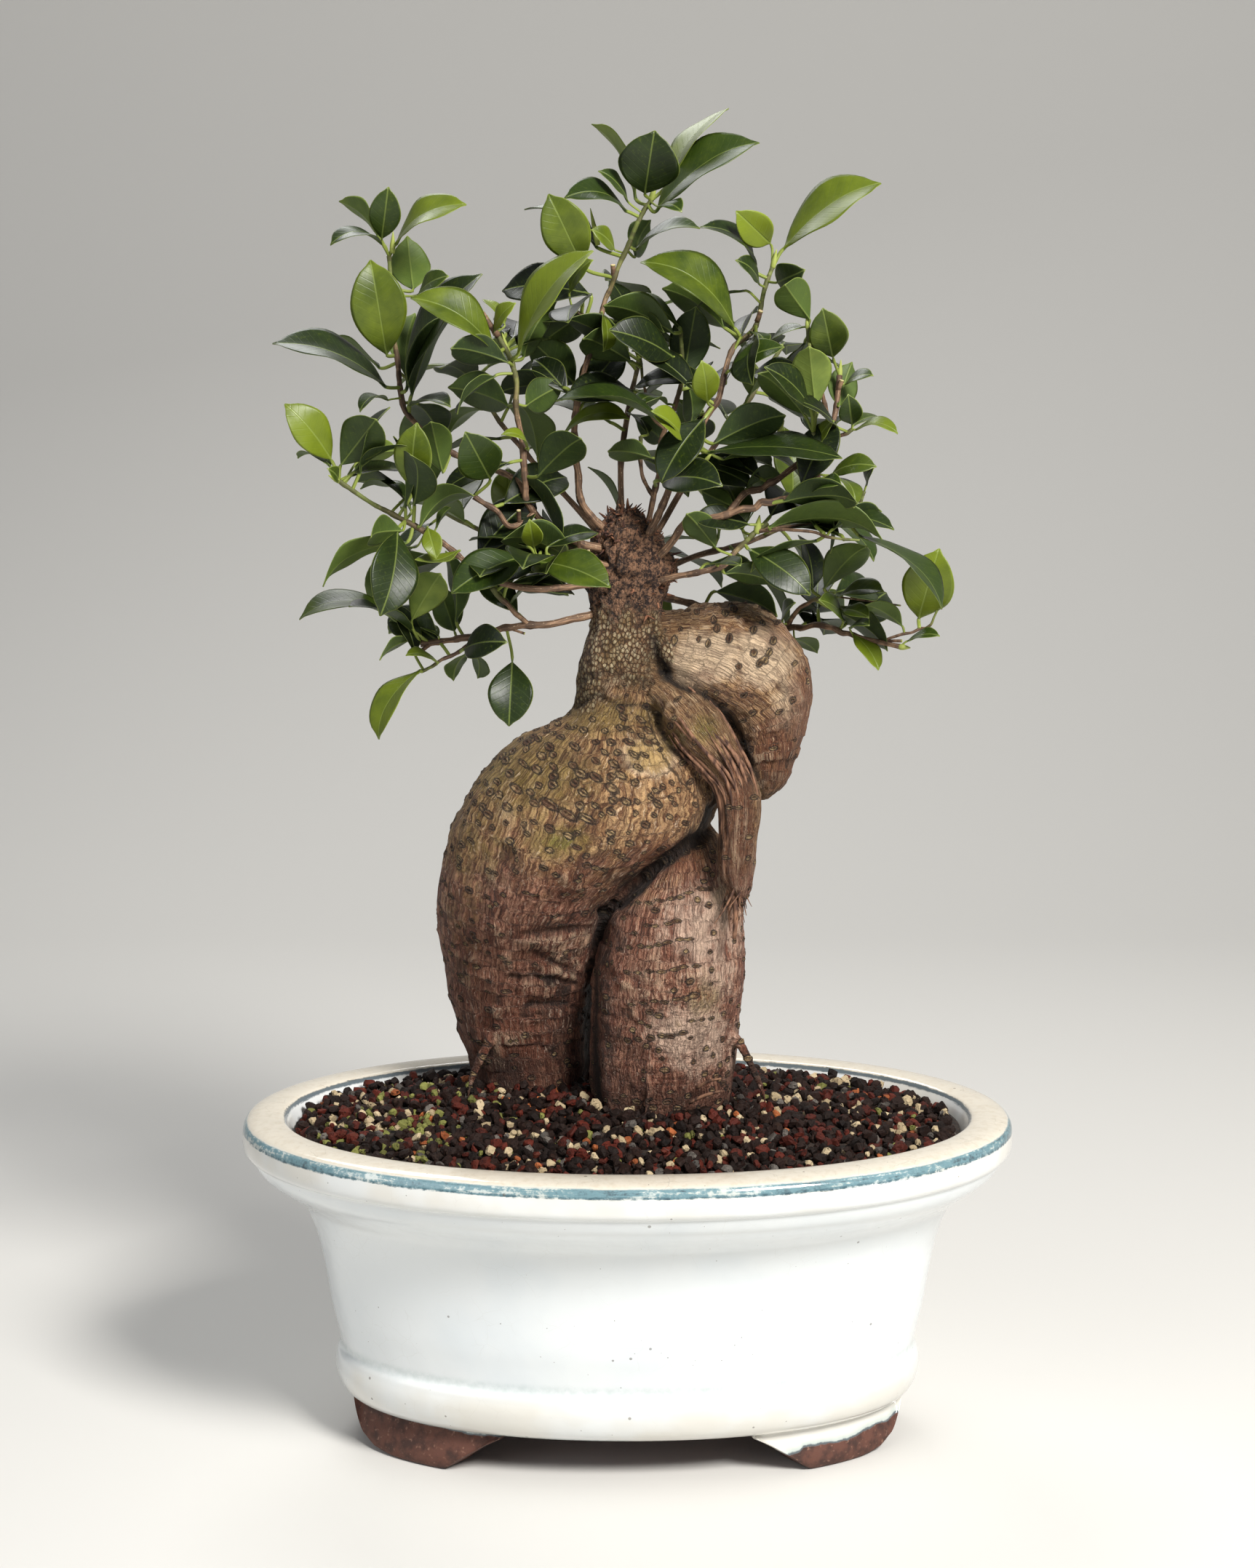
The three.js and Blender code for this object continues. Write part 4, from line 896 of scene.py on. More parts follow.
# The frame of a path: its direction at each point, and a side vector carried along it without twist
def pathFrame(path):
    along = unit(np.gradient(path, axis=0))
    side = np.array([0.31, -0.9, 0.31])
    sides = []
    for ahead in along:
        side = unit(side - ahead * (side @ ahead))
        sides.append(side)
    sides = np.array(sides)
    return along, sides, np.cross(along, sides)


# Rings of a round stem round a path
def stemRings(path, radii, sides):
    _, side, up = pathFrame(path)
    turn = turns(sides)[None, :, None]
    ring = side[:, None] * np.cos(turn) + up[:, None] * np.sin(turn)
    return (path[:, None] + ring * radii[:, None, None])[None]


def rootRings(rows, steps, sides):
    rows = smoothRows(rows, steps)
    return stemRings(seen(*rows.T[:3]), rows[:, 3], sides)


# The closed parts grown together into one skin of even squares
def grownTogether():
    parts = [
        levelRings(trunk["body"], 6, 96, 0.6, 0.035), levelRings(trunk["leg"], 6, 72, 2.1, 0.045),
        levelRings(trunk["stump"], 6, 48, 4.2, 0.12), bentRings(trunk["bulb"], 7, 64),
        rootRings(trunk["hangingRoot"], 6, 32),
    ] + [rootRings(rows, 6, 12) for rows in trunk["rootlets"][1:]]
    thing = loose("trunkParts", *joinSets([skin(rings) for rings in parts]))
    grow = thing.modifiers.new("grow", "REMESH")
    grow.mode = "VOXEL"
    grow.voxel_size = trunk["voxel"] / 1000
    smooth = thing.modifiers.new("smooth", "SMOOTH")
    smooth.factor = 0.5
    smooth.iterations = 3
    return settled(thing, "trunk")


# For every point the nearest limb, by distance in the limb's own radii: a place on a cylinder
# of fixed radius as if the limb were straight, so that a grain can run along it
def alongLimbs(points):
    radius, step = trunk["grainRadius"], trunk["grainStep"]
    best = np.full(len(points), 1e9)
    result = np.zeros((len(points), 3))
    limb = np.zeros(len(points), int)
    for number, rows in enumerate(trunk["grain"].values()):
        rows = smoothRows(rows, 4)
        path = seen(*rows.T[:3])
        _, side, up = pathFrame(path)
        length = lengthAlong(path)
        for i in range(len(path) - 1):
            stretch = path[i + 1] - path[i]
            t = np.clip((points - path[i]) @ stretch / (stretch @ stretch), 0, 1)
            offset = points - path[i] - t[:, None] * stretch
            far = np.linalg.norm(offset, axis=1) / (rows[i, 3] + (rows[i + 1, 3] - rows[i, 3]) * t)
            turn = np.arctan2(offset @ up[i], offset @ side[i])
            along = length[i] + t * (length[i + 1] - length[i])
            row = together(radius * np.cos(turn), radius * np.sin(turn), along + step * number)
            nearer = far < best
            best = np.where(nearer, far, best)
            result = np.where(nearer[:, None], row, result)
            limb = np.where(nearer, number, limb)
    return result, limb


# Marks of the bark, as they are seen on its front: soft spots are middle x and z, half-width, half-height
# and strength; folds are their width, height and line; knots are x, z, radius and height

barkMarks = {
    "algae": [
        (-40, 264, 30, 18, 0.75), (-26, 237, 12, 7, 1.0), (-58, 238, 16, 22, 0.4), (17.5, 277.5, 5, 4.5, 1.0),
        (30, 281, 5, 6, 0.9), (29, 175, 9, 8, 0.5), (-62, 205, 8, 26, 0.3), (-12, 286, 18, 9, 0.7),
        (-2, 312, 14, 16, 0.35), (8, 285, 9, 8, 0.6),
    ],
    "red": [
        (-24, 222, 16, 10, 0.6), (-46, 156, 22, 26, 0.9), (-27, 178, 16, 30, 0.6), (-8, 178, 6, 34, 0.7),
        (57, 272, 11, 18, 0.95), (42, 246, 9, 34, 0.9), (17, 288, 6, 5, 0.4), (-6, 145, 14, 16, 0.4),
        (60, 318, 12, 9, 0.6), (31, 301, 9, 6, 0.5), (44, 321, 14, 5, 0.5), (42, 295, 14, 8, 0.5),
        (67, 288, 7, 24, 0.85), (16, 231, 24, 8, 0.75), (-62, 190, 10, 34, 0.6),
    ],
    # pale: paler bark on the bulb and the right leg, with painted highlight on their lit right sides
    "pale": [
        (31, 309, 17, 12, 1.0), (52, 309, 15, 13, 0.9), (62, 292, 9, 16, 0.6), (28, 203, 18, 22, 0.7),
        (26, 160, 20, 20, 0.7), (9, 271, 11, 9, 1.0), (-52, 222, 10, 10, 0.3), (35, 186, 12, 22, 0.5),
    ],
    # dark: mostly painted shade, in the gaps between the legs and round the hanging root, along creases, at
    # the left edge and over the thin roots at the foot; also darker bark on the stump top and earth near the
    # soil
    "dark": [
        (14, 303, 4, 6, 0.8), (0, 352, 22, 16, 0.7), (-8, 165, 5, 44, 0.7), (-12, 205, 8, 14, 0.6),
        (-27, 166, 13, 34, 0.65), (-45, 138, 26, 8, 0.5), (16, 136, 30, 6, 0.4), (36, 250, 5, 8, 0.8),
        (0, 222, 10, 7, 0.7), (27, 240, 9, 6, 0.7), (-38, 190, 12, 5, 0.4), (50, 262, 9, 8, 0.5),
        (-68, 190, 7, 50, 0.45),
        (-48, 138, 26, 22, 0.5), (-30, 196, 14, 12, 0.45), (-46, 141, 9, 14, 0.9), (49, 148, 8, 18, 0.9),
    ],
    "wrinkles": [
        (-30, 186, 22, 36, 1.0), (-4, 180, 8, 40, 0.8), (2, 297, 15, 8, 0.7), (58, 268, 12, 18, 0.9),
        (14, 196, 26, 36, 0.5), (-50, 165, 18, 34, 0.6), (44, 292, 16, 10, 0.6),
    ],
    "tan": [(9, 272, 10, 9, 1.0), (-2, 262, 10, 6, 0.5), (-8, 284, 10, 5, 0.4)],
    # small pale scales crowd the neck; the hanging root and the bulb's lower end are rough with fibres
    "scales": [(-5, 319, 19, 21, 1.0), (13, 312, 6, 8, 0.8), (-16, 298, 8, 12, 0.9), (0, 302, 14, 6, 0.6)],
    "rough": [(40, 250, 13, 34, 1.0), (28, 281, 9, 10, 0.5), (57, 268, 11, 18, 0.8), (0, 340, 26, 12, 0.8)],
    # deep creases: their width, depth, darkness of their painted shade, and line
    "creases": [
        (2.3, 2.6, 0.8, [(33, 249.5), (29, 240), (21, 234), (10, 226.5), (0, 216), (-9, 209.5)]),
        (1.8, 1.8, 0.9, [(10, 316), (11, 309), (14, 304), (18, 300), (24, 296.5)]),
        (1.6, 0.7, 0.9, [(26, 297), (32, 292.5), (38, 287), (43, 280), (46.5, 272), (49, 262)]),
        (1.3, 0.5, 0.9, [(11, 287), (13, 280), (17, 274), (24, 269.5), (30, 265), (34, 258), (35.5, 247),
                         (36, 235)]),
        (1.0, 1.2, 0.6, [(-20, 290), (-12, 294), (-6, 291.5), (0, 290.5), (6, 290.5), (12, 286)]),
        (1.1, 1.0, 0.5, [(-18, 300), (-8, 303), (2, 301), (10, 299)]),
        (1.4, 1.3, 0.7, [(-40, 201), (-28, 202.5), (-16, 204)]),
        (1.1, 1.0, 0.6, [(-36, 194), (-27, 189), (-18, 184)]),
        (1.3, 1.2, 0.7, [(-46, 184), (-33, 184), (-20, 181)]),
        (1.1, 1.0, 0.6, [(-40, 172), (-28, 173), (-18, 171)]),
        (2.4, 1.6, 1.0, [(-9, 208), (-12, 196), (-14, 180), (-14.5, 160), (-13, 140), (-12, 128)]),
    ],
    "folds": [
        (2.2, 1.3, [(-48, 238), (-36, 232), (-20, 220)]), (1.5, 0.9, [(-8, 298), (5, 299)]),
        (1.4, 0.8, [(-5, 291), (8, 292)]), (1.8, 0.9, [(-38, 201), (-28, 199), (-15, 203)]),
        (1.8, 0.9, [(-37, 200), (-26, 193), (-18, 188)]), (2.2, 1.0, [(-45, 188), (-32, 187), (-20, 186)]),
        (1.4, 0.7, [(-40, 160), (-30, 163), (-22, 160)]),
        (1.8, 0.9, [(-5, 190), (2, 172), (5, 160), (8, 150)]),
        (1.2, -0.7, [(0, 262), (7, 254)]), (1.5, 0.8, [(42, 313), (50, 320)]),
        (1.4, 0.8, [(41, 303), (46, 308)]), (1.6, 0.8, [(60, 303), (68, 308)]),
        (1.6, 0.7, [(-38, 243), (-30, 236), (-22, 234)]),
        (1.4, -0.6, [(10, 312), (14, 303), (20, 297)]), (1.6, 0.7, [(20, 183), (29, 185), (38, 180)]),
        (1.4, 0.6, [(20, 168), (30, 166), (38, 170)]), (2, 0.8, [(-52, 205), (-47, 190), (-46, 172)]),
    ],
    "knots": [
        (-4, 297, 4.0, 1.2), (-42, 182, 3.0, 0.9), (-38, 174, 2.6, -1.2), (-35, 169, 2.6, 0.8),
        (-35, 215.5, 2.3, 0.7), (-27, 208.7, 2, 0.6), (-10, 227, 1.8, 0.6), (26, 219, 2, 0.6),
        (9, 205, 2, 0.6), (30, 201, 2, 0.6), (38, 190, 2, 0.6), (26, 158, 2.2, 0.7), (9, 147, 2.2, 0.7),
        (8, 270, 1.8, 0.6),
        (3, 275, 1.8, 0.6), (17, 288, 3.4, 1.0), (17, 278, 2.6, -1.2),
    ],
    # chains of lenticels: the line, the step along it, half-length and half-width of one
    "chains": [
        ([(-4, 213), (10, 213.5), (22, 216), (30, 219)], 4.1, 1.7, 0.7),
        ([(8, 204), (22, 206)], 3.6, 1.5, 0.7),
        ([(-3, 195), (10, 196), (27, 200)], 3.9, 1.6, 0.7), ([(0, 186), (14, 186), (30, 189)], 4.4, 1.7, 0.7),
        ([(2, 173), (20, 175)], 4.2, 1.6, 0.7), ([(25, 166), (35, 168)], 3.8, 1.5, 0.7),
        ([(-30, 252), (-22, 247), (-14, 247)], 8.0, 3.6, 1.3), ([(33, 323), (34, 319)], 3.6, 1.6, 1.1),
        ([(48, 310), (51, 305), (56, 316)], 4.2, 1.7, 1.2), ([(0, 158), (22, 161)], 4.4, 1.6, 1.0),
    ],
}

lenticel = {
    "count": 1150, "tries": 9000, "seed": 17, "lowest": 132,
    # where they crowd: middle x and height, half-width, half-height
    "neck": (-3, 312, 18, 20), "belly": (-28, 270, 34, 18),
}


def softSpots(spots, x, z):
    total = np.zeros(len(x))
    for middle, height, wide, tall, strength in spots:
        far = ((x - middle) / wide) ** 2 + ((z - height) / tall) ** 2
        total = np.maximum(total, strength * np.exp(-(far**1.3)))
    return total


# A bell across a line through given points, 1 on the line, on the plane where things are seen
def alongLine(line, wide, x, z):
    best = np.full(len(x), 1e9)
    line = smoothRows(line, 4) if len(line) > 2 else np.array(line, float)
    for (x0, z0), (x1, z1) in zip(line[:-1], line[1:]):
        dx, dz = x1 - x0, z1 - z0
        t = np.clip(((x - x0) * dx + (z - z0) * dz) / (dx * dx + dz * dz), 0, 1)
        best = np.minimum(best, np.hypot(x - x0 - t * dx, z - z0 - t * dz))
    return bell(best / wide)


# Painted shade along the deep creases, 1 in their middle
def creaseShade(x, z, front):
    shade = np.zeros(len(x))
    for wide, _, dark, line in barkMarks["creases"]:
        shade = np.maximum(shade, dark * alongLine(line, wide, x, z))
    return shade * front


def barkRelief(points, front, limbs, masks, x, z):
    relief = 0.9 * noise(points / 23, 1) + 0.45 * noise(points / 9, 2) + 0.25 * noise(points / 4, 11)
    swayed = limbs + together(*(noise(points / 12, seed) for seed in (6, 7, 8))) * 3
    streak = swayed * (1 / 3.1, 1 / 3.1, 1 / 26)
    relief += (0.32 + 0.9 * masks["rough"]) * noise(streak, 3) + 0.16 * noise(streak * (2, 2, 2.4), 4)
    ridge = 1 - 2.2 * np.abs(noise(swayed * (1 / 15, 1 / 15, 1 / 4.6), 5))
    relief += (0.16 + 0.85 * masks["wrinkles"]) * ridge
    for wide, deep, _, line in barkMarks["creases"]:
        relief -= front * deep * alongLine(line, wide, x, z)
    knotty = 0.55 + 0.9 * noise(points / 3.4, 14)
    for wide, high, line in barkMarks["folds"]:
        relief += front * high * alongLine(line, wide, x, z) * knotty
    for middle, height, radius, high in barkMarks["knots"]:
        far = np.hypot(x - middle, z - height) / radius
        bead = bell((far - 0.75) / 0.45) - 0.8 * bell(far / 0.4)
        relief += front * (high * (bead if high > 0 else bell(far / 0.7)))
    shag = softStep(*trunk["shagFrom"], points[:, 2] + 4 * noise(points / 7, 12))
    flakes = noise(points * (0.4, 0.4, 0.3), 9) + 0.6 * noise(points * (0.8, 0.8, 0.6), 10)
    return relief + shag * (0.8 + 1.5 * flakes)


# Lenticels: their middles, frames and half-sizes. The named chains come first, the rest fall at random
# where the bark bears many, never closer together than their own size
def chooseLenticels(points, normals, ahead, limb, masks, x, z):
    random = np.random.default_rng(lenticel["seed"])
    front = np.where(normals[:, 1] < -0.1, 0, 1e6)
    picked, halves = [], []
    for line, step, long, wide in barkMarks["chains"]:
        line = np.array(line, float)
        spots = lengthAlong(line)
        for spot in np.arange(0, spots[-1] + 0.1, step):
            here = np.interp(spot, spots, line[:, 0]), np.interp(spot, spots, line[:, 1])
            picked.append(int((np.hypot(x - here[0], z - here[1]) + front).argmin()))
            halves.append((long * random.uniform(0.85, 1.15), wide * random.uniform(0.85, 1.15)))
    across, _, height = points.T
    middle, level, wide, tall = lenticel["neck"]
    neck = bell((height - level) / tall) * (np.abs(across - middle) < wide)
    middle, level, wide, tall = lenticel["belly"]
    belly = np.exp(-(((across - middle) / wide) ** 2 + ((height - level) / tall) ** 2))
    weight = 0.45 + 0.3 * neck + 2.2 * belly - 0.27 * (limb == 2)
    weight = np.where(height < lenticel["lowest"], 0, weight) * (1 - 0.8 * masks["wrinkles"])
    weight = np.where(limb == 3, weight * 0.3, weight)
    for spot in random.choice(len(points), lenticel["tries"], p=weight / weight.sum()):
        if len(picked) >= lenticel["count"]:
            break
        small = 0.7 if neck[spot] > 0.4 else 1.0
        long = random.uniform(0.9, 1.9) * small * (1.0 + 0.6 * belly[spot])
        wide = min(long, random.uniform(0.7, 1.25) * small * (1.0 + 0.3 * belly[spot]))
        apart = np.linalg.norm(points[picked] - points[spot], axis=1)
        if (apart > 1.25 * (np.array(halves)[:, 0] + long) * 0.8).all():
            picked.append(int(spot))
            halves.append((long, wide))
    along = unit(ahead[picked] - normals[picked] * dot(ahead[picked], normals[picked]))
    return points[picked], along, np.cross(normals[picked], along), normals[picked], np.array(halves)


# For every point its place in the nearest lenticel, in the lenticel's own half-sizes, and how far out it lies
def lenticelPlaces(points, middles, along, across, facing, halves):
    result = np.empty((len(points), 3))
    for first in range(0, len(points), 2500):
        offset = points[first:first + 2500, None] - middles[None]
        u = (offset * across[None]).sum(-1) / halves[None, :, 0]
        v = (offset * along[None]).sum(-1) / halves[None, :, 1]
        w = (offset * facing[None]).sum(-1) / 2
        far = np.sqrt(u * u + v * v + w * w)
        chosen = np.arange(len(far)), far.argmin(1)
        result[first:first + 2500] = np.stack([u[chosen], v[chosen], far[chosen]], -1)
    return result


# The way that the limb grows at each point
def growthWays(points, limb):
    ways = np.zeros_like(points)
    for number, rows in enumerate(trunk["grain"].values()):
        path = seen(*smoothRows(rows, 4).T[:3])
        here = limb == number
        far = ((points[here][:, None] - path[None]) ** 2).sum(-1)
        ways[here] = unit(np.gradient(path, axis=0))[far.argmin(1)]
    return ways


def makeTrunk():
    mesh = grownTogether()
    points, normals = vectorsOf(mesh.vertices, "co") * 1000, vectorsOf(mesh.vertex_normals, "vector")
    x, z = whereSeen(points)
    limbs, limb = alongLimbs(points)
    front, behind = softStep(-0.1, 0.35, -normals[:, 1]), softStep(0.0, 0.5, normals[:, 1])
    # the back has no photographed spots of its own: the same ones serve there, weaker and mirrored
    masks = {key: softSpots(barkMarks[key], x, z) * (1 - behind)
             + behind * 0.8 * softSpots(barkMarks[key], -8 - x, z)
             for key in ("algae", "red", "pale", "dark", "wrinkles", "scales", "rough", "tan")}
    spots = chooseLenticels(points, normals, growthWays(points, limb), limb, masks, x, z)
    places = lenticelPlaces(points, *spots)
    lips = bell((places[:, 2] - 0.75) / 0.35) - 0.7 * bell(places[:, 2] / 0.4)
    relief = barkRelief(points, front, limbs, masks, x, z) + 0.5 * lips
    moved = points + normals * relief[:, None]
    mesh.vertices.foreach_set("co", (moved / 1000).astype(np.float32).ravel())
    mesh.update()
    stump = softStep(*trunk["scrapsFrom"], z + 9 * noise(points / 4.5, 13))
    stump = stump * softStep(*trunk["scrapsSide"], x)
    mark(mesh, "limb", limbs)
    mark(mesh, "lenticel", places)
    mark(mesh, "skin", masks["algae"], masks["red"], masks["pale"])
    mark(mesh, "shade", masks["dark"], relief, masks["wrinkles"])
    mark(mesh, "spread", masks["tan"], stump, 0)
    mark(mesh, "kind", masks["scales"], masks["rough"], creaseShade(x, z, front))
    place(mesh, ["trunk"], barkMaterial())
    return len(points), len(spots[0])


barkLook = {
    "base": "89603c", "light": "d4aa79", "pale": "f8dab6", "tan": "cfa85f", "olive": "8c7a36",
    "moss": "868034", "red": "80422a", "redDark": "492819", "dark": "1a100a", "lip": "c8a878",
    "lipDark": "6b4830", "slit": "24160e", "dust": "7a5e47", "scale": "dcc8a2", "shag": "2b1710",
    "shagLight": "a67c5e",
    "baseLow": "824b36", "lightLow": "c69175", "paleLow": "f4d2b9",
}


def barkMaterial():
    look = colours(barkLook)
    bench = newMaterial("bark", Roughness=0.8)
    mix, rise, noise, stretch = bench.mix, bench.rise, bench.noise, bench.stretch
    where = bench.millimetres()
    algae, red, pale = bench.marks("skin")
    dark, relief, wrinkles = bench.marks("shade")
    scales, rough, crease = bench.marks("kind")
    tan, stump, _ = bench.marks("spread")
    u, v, far = bench.marks("lenticel")
    swayed = bench.shift(bench.mark("limb"), stretch(noise(where, 0.13, output=1), 3.5, 3.5, 3.5))
    streak = noise(stretch(swayed, 0.55, 0.55, 0.085), 1.0, 7.0, 0.7)
    thread = noise(stretch(swayed, 1.5, 1.5, 0.27), 1.0, 4.0, 0.7)
    cross = noise(stretch(swayed, 0.12, 0.12, 0.55), 1.0, 4.0, 0.62)
    cloud, tatter = noise(where, 0.07, 5.0, 0.65), noise(where, 0.22, 5.0, 0.7)
    grit = noise(where, 0.9, 4.0, 0.7)
    fissure = bench.use(cracks, Vector=stretch(swayed, 1, 1, 0.22), Scale=0.62, Width=0.16)

    # a soft spot torn up by the grain, so that it has no round outline
    def ragged(value, low, high, amount=1.0):
        stir = (cloud - 0.5) + (tatter - 0.5) + (streak - 0.5) * 0.8
        return rise(value + stir * amount, low, high)

    fibre = streak * 0.5 + thread * 0.5
    # the legs are redder than the belly and the neck
    low = bench.parts(where)[2]
    legs = rise(low + (cloud - 0.5) * 90.0, 246.0, 212.0)
    paleTint = mix(legs, look.pale, look.paleLow)
    tint = mix(rise(fibre, 0.37, 0.47), look.redDark, mix(legs, look.base, look.baseLow))
    tint = mix(rise(fibre, 0.46, 0.57), tint, mix(legs, look.light, look.lightLow))
    # pale bark, with painted highlight on the lit right side
    tint = mix(ragged(pale, 0.2, 0.75) * 0.85, tint, paleTint)
    tint = mix(ragged(red, 0.25, 0.85) * 0.68, tint, look.red)
    tint = mix(ragged(algae, 0.1, 0.7) * 0.6, tint, look.olive)
    tint = mix(ragged(algae, 0.75, 1.05) * 0.7, tint, look.moss)
    tint = mix(ragged(tan, 0.3, 0.8) * 0.75, tint, look.tan)
    # short dark dashes along the fibres and dark lines across them
    tint = mix(rise(thread, 0.49, 0.38) * (rough * 0.35 + 0.5 - pale * 0.3), tint, look.redDark)
    tint = mix(fissure * 0.5, tint, look.redDark)
    tint = mix(rise(cross, 0.46, 0.36) * (wrinkles * 0.5 + 0.3), tint, look.dark)
    # dark spots: painted shade in gaps, creases and at the left edge, with darker bark and earth
    tint = mix(ragged(dark, 0.3, 0.9) * 0.8, tint, look.dark)
    # painted shade in the hollows of the relief, and painted highlight on its raised ridges
    tint = mix(rise(relief, -0.4, -1.9) * 0.7, tint, look.dark)
    tint = mix(rise(relief, 0.4, 1.4) * rise(fibre, 0.44, 0.56) * 0.4, tint, look.pale)
    tint = mix(rise(grit, 0.56, 0.7) * 0.3, tint, look.dust)
    # cream flecks where the thin skin peels
    peel = rise(noise(stretch(swayed, 1.3, 1.3, 0.9), 1.0, 3.0, 0.6), 0.57, 0.66) * rise(tatter, 0.42, 0.6)
    tint = mix(peel * 0.6, tint, paleTint)
    # crowded small scales with dark gaps between them
    narrow = stretch(where, 1, 0.8, 0.7)
    inside, chance = bench.cells(narrow, 0.7, "Distance", "Color")
    edge = bench.cells(narrow, 0.7, "Distance", feature="DISTANCE_TO_EDGE")
    gap = rise(edge, 0.0, 0.14) * rise(inside, 0.85, 0.5) * 0.7 + 0.3
    own = rise(bench.put("SeparateColor", {0: chance}), 0.0, 0.8, 0.35, 1.0)
    scaly = ragged(scales, 0.3, 0.65, 0.8)
    plate = mix(rise(inside + (grit - 0.5) * 0.7, 0.6, 0.25) * own, look.base, look.scale)
    plate = mix(rise(cloud, 0.42, 0.58) * 0.25, plate, look.olive)
    plate = mix(rise(tatter, 0.46, 0.35) * 0.55, plate, look.redDark)
    tint = mix(scaly, tint, mix(gap, look.dark, plate))
    # the top of the stump is covered with dry reddish scraps, and earth clings to the feet
    scraps = grit * 0.5 + noise(where, 0.35, 4.0, 0.7) * 0.5
    tint = mix(stump, tint, mix(rise(scraps, 0.44, 0.58), look.shag, look.shagLight))
    earth = rise(low, 158.0, 134.0) * rise(cloud, 0.35, 0.6, 0.3, 1.0)
    tint = mix(earth * 0.75, tint, look.redDark)
    # lenticels: a dark outline, painted shade round the raised lips, then pale lips and a dark slit
    stirred = far + (grit - 0.5) + (tatter - 0.5)
    free = rise(scaly, 0.8, 0.3) * rise(stump, 0.6, 0.1)
    outline = rise(stirred, 1.45, 1.1) * free * 0.85
    lips = rise(stirred, 0.98, 0.82) * free
    slit = rise(bench.math("ABSOLUTE", v), 0.42, 0.16) * rise(bench.math("ABSOLUTE", u), 0.85, 0.6) * lips
    tint = mix(outline, tint, look.dark)
    tint = mix(lips * 0.85, tint, mix(rise(tatter, 0.42, 0.6), look.lipDark, look.lip))
    tint = mix(slit * 0.8 * rise(cloud, 0.4, 0.55), tint, look.slit)
    # painted shade along the deep creases
    tint = mix(crease * 0.9, tint, look.dark)
    height = streak * 1.6 + thread * 1.3 + cross * 0.9 + grit * 0.8 - fissure * 0.35 + gap * scaly
    height = height + (lips * 0.9 - slit * 0.9 - outline * 0.6)
    return bench.finish(height, 1.0, 1.9, Base_Color=tint, Roughness=rise(streak, 0.3, 0.7, 0.6, 0.8))


print("trunk of", "%d points with %d lenticels" % makeTrunk())


# Fibres: thin roots, the frayed end of the hanging root and the shaggy top of the stump

fibres = {
    "seed": 29, "alongRoot": 46, "frayed": 18, "shag": 420, "rows": 8, "sides": 6,
    # thin dry roots that lie over the soil at the foot of the right leg, in the terms of the rootlets
    "overSoil": [
        [(24, 133, -22, 0.7), (30, 136, -24, 0.65), (37, 138, -25, 0.5)],
        [(27, 139, -20, 0.6), (32, 142, -22, 0.6), (37, 143, -23, 0.4)],
    ],
}


def fibreRings(starts, ways, lengths, radii, bends):
    share = np.linspace(0, 1, fibres["rows"])[None, :, None]
    line = starts[:, None] + ways[:, None] * lengths[:, None, None] * share + bends[:, None] * share**2
    along = unit(np.gradient(line, axis=1))
    side = unit(np.cross(along, (0.3, 0.2, 0.93)))
    turn = turns(fibres["sides"])[:, None]
    ring = side[:, :, None] * np.cos(turn) + np.cross(along, side)[:, :, None] * np.sin(turn)
    taper = radii[:, None, None, None] * (1 - 0.75 * share[..., None] ** 1.5)
    return line[:, :, None] + ring * taper


def makeFibres():
    random = np.random.default_rng(fibres["seed"])
    rows = smoothRows(trunk["hangingRoot"], 4)
    path = seen(*rows.T[:3])
    _, side, up = pathFrame(path)
    parts = []
    for _ in range(fibres["alongRoot"]):
        first = int(random.integers(2, 14))
        last = int(random.integers(first + 9, len(path)))
        turn = random.uniform(0, 2 * math.pi) + random.uniform(-0.9, 0.9) * np.linspace(0, 1, last - first)
        out = rows[first:last, 3] * random.uniform(0.88, 1.04)
        line = (path[first:last] + side[first:last] * (out * np.cos(turn))[:, None]
                + up[first:last] * (out * np.sin(turn))[:, None])
        radii = random.uniform(0.35, 1.0) * np.sin(np.linspace(0.25, 2.9, last - first))
        parts.append(stemRings(line, radii, 6))
    count = fibres["frayed"]
    starts = path[-5] + random.normal(size=(count, 3)) * (1.6, 1.6, 2.5)
    ways = unit(random.normal(size=(count, 3)) * (0.3, 0.25, 0.1) + (-0.05, -0.05, -1))
    bends = random.normal(size=(count, 3)) * (2, 1.5, 1)
    lengths, radii = random.uniform(8, 19, count), random.uniform(0.3, 0.6, count)
    parts.append(fibreRings(starts, ways, lengths, radii, bends))
    count = fibres["shag"]
    rings = levelRings(trunk["stump"], 3, 40, 4.2, 0.12)[0]
    row, column = random.integers(1, len(rings), count), random.integers(0, 40, count)
    starts = rings[row, column]
    out = unit(starts - rings[row].mean(1))
    ways = unit(out * 0.5 + random.normal(size=out.shape) * 0.5 + (0, 0, 0.35))
    bends = random.normal(size=out.shape) * 1.2
    lengths, radii = random.uniform(1.8, 5.2, count), random.uniform(0.35, 1.05, count)
    parts.append(fibreRings(starts - out * 0.8, ways, lengths, radii, bends))
    parts.append(rootRings(trunk["rootlets"][0], 6, 10))
    parts += [rootRings(rows, 4, 8) for rows in fibres["overSoil"]]
    mesh = makeMesh("trunkFibres", *joinSets([skin(rings) for rings in parts]))
    bench = newMaterial("fibre", Roughness=0.85)
    where = bench.millimetres()
    grain = bench.noise(bench.stretch(where, 1, 1, 0.25), 0.6, 4.0)
    tint = bench.mix(bench.rise(grain, 0.35, 0.65), colour("3a2319"), colour("87624a"))
    scrap = bench.mix(bench.rise(grain, 0.35, 0.7), colour("321a12"), colour("8f6044"))
    tint = bench.mix(bench.rise(bench.parts(where)[2], 318.0, 326.0), tint, scrap)
    place(mesh, ["trunk"], bench.finish(grain, 0.6, 0.4, Base_Color=tint))


makeFibres()
print("fibres made")
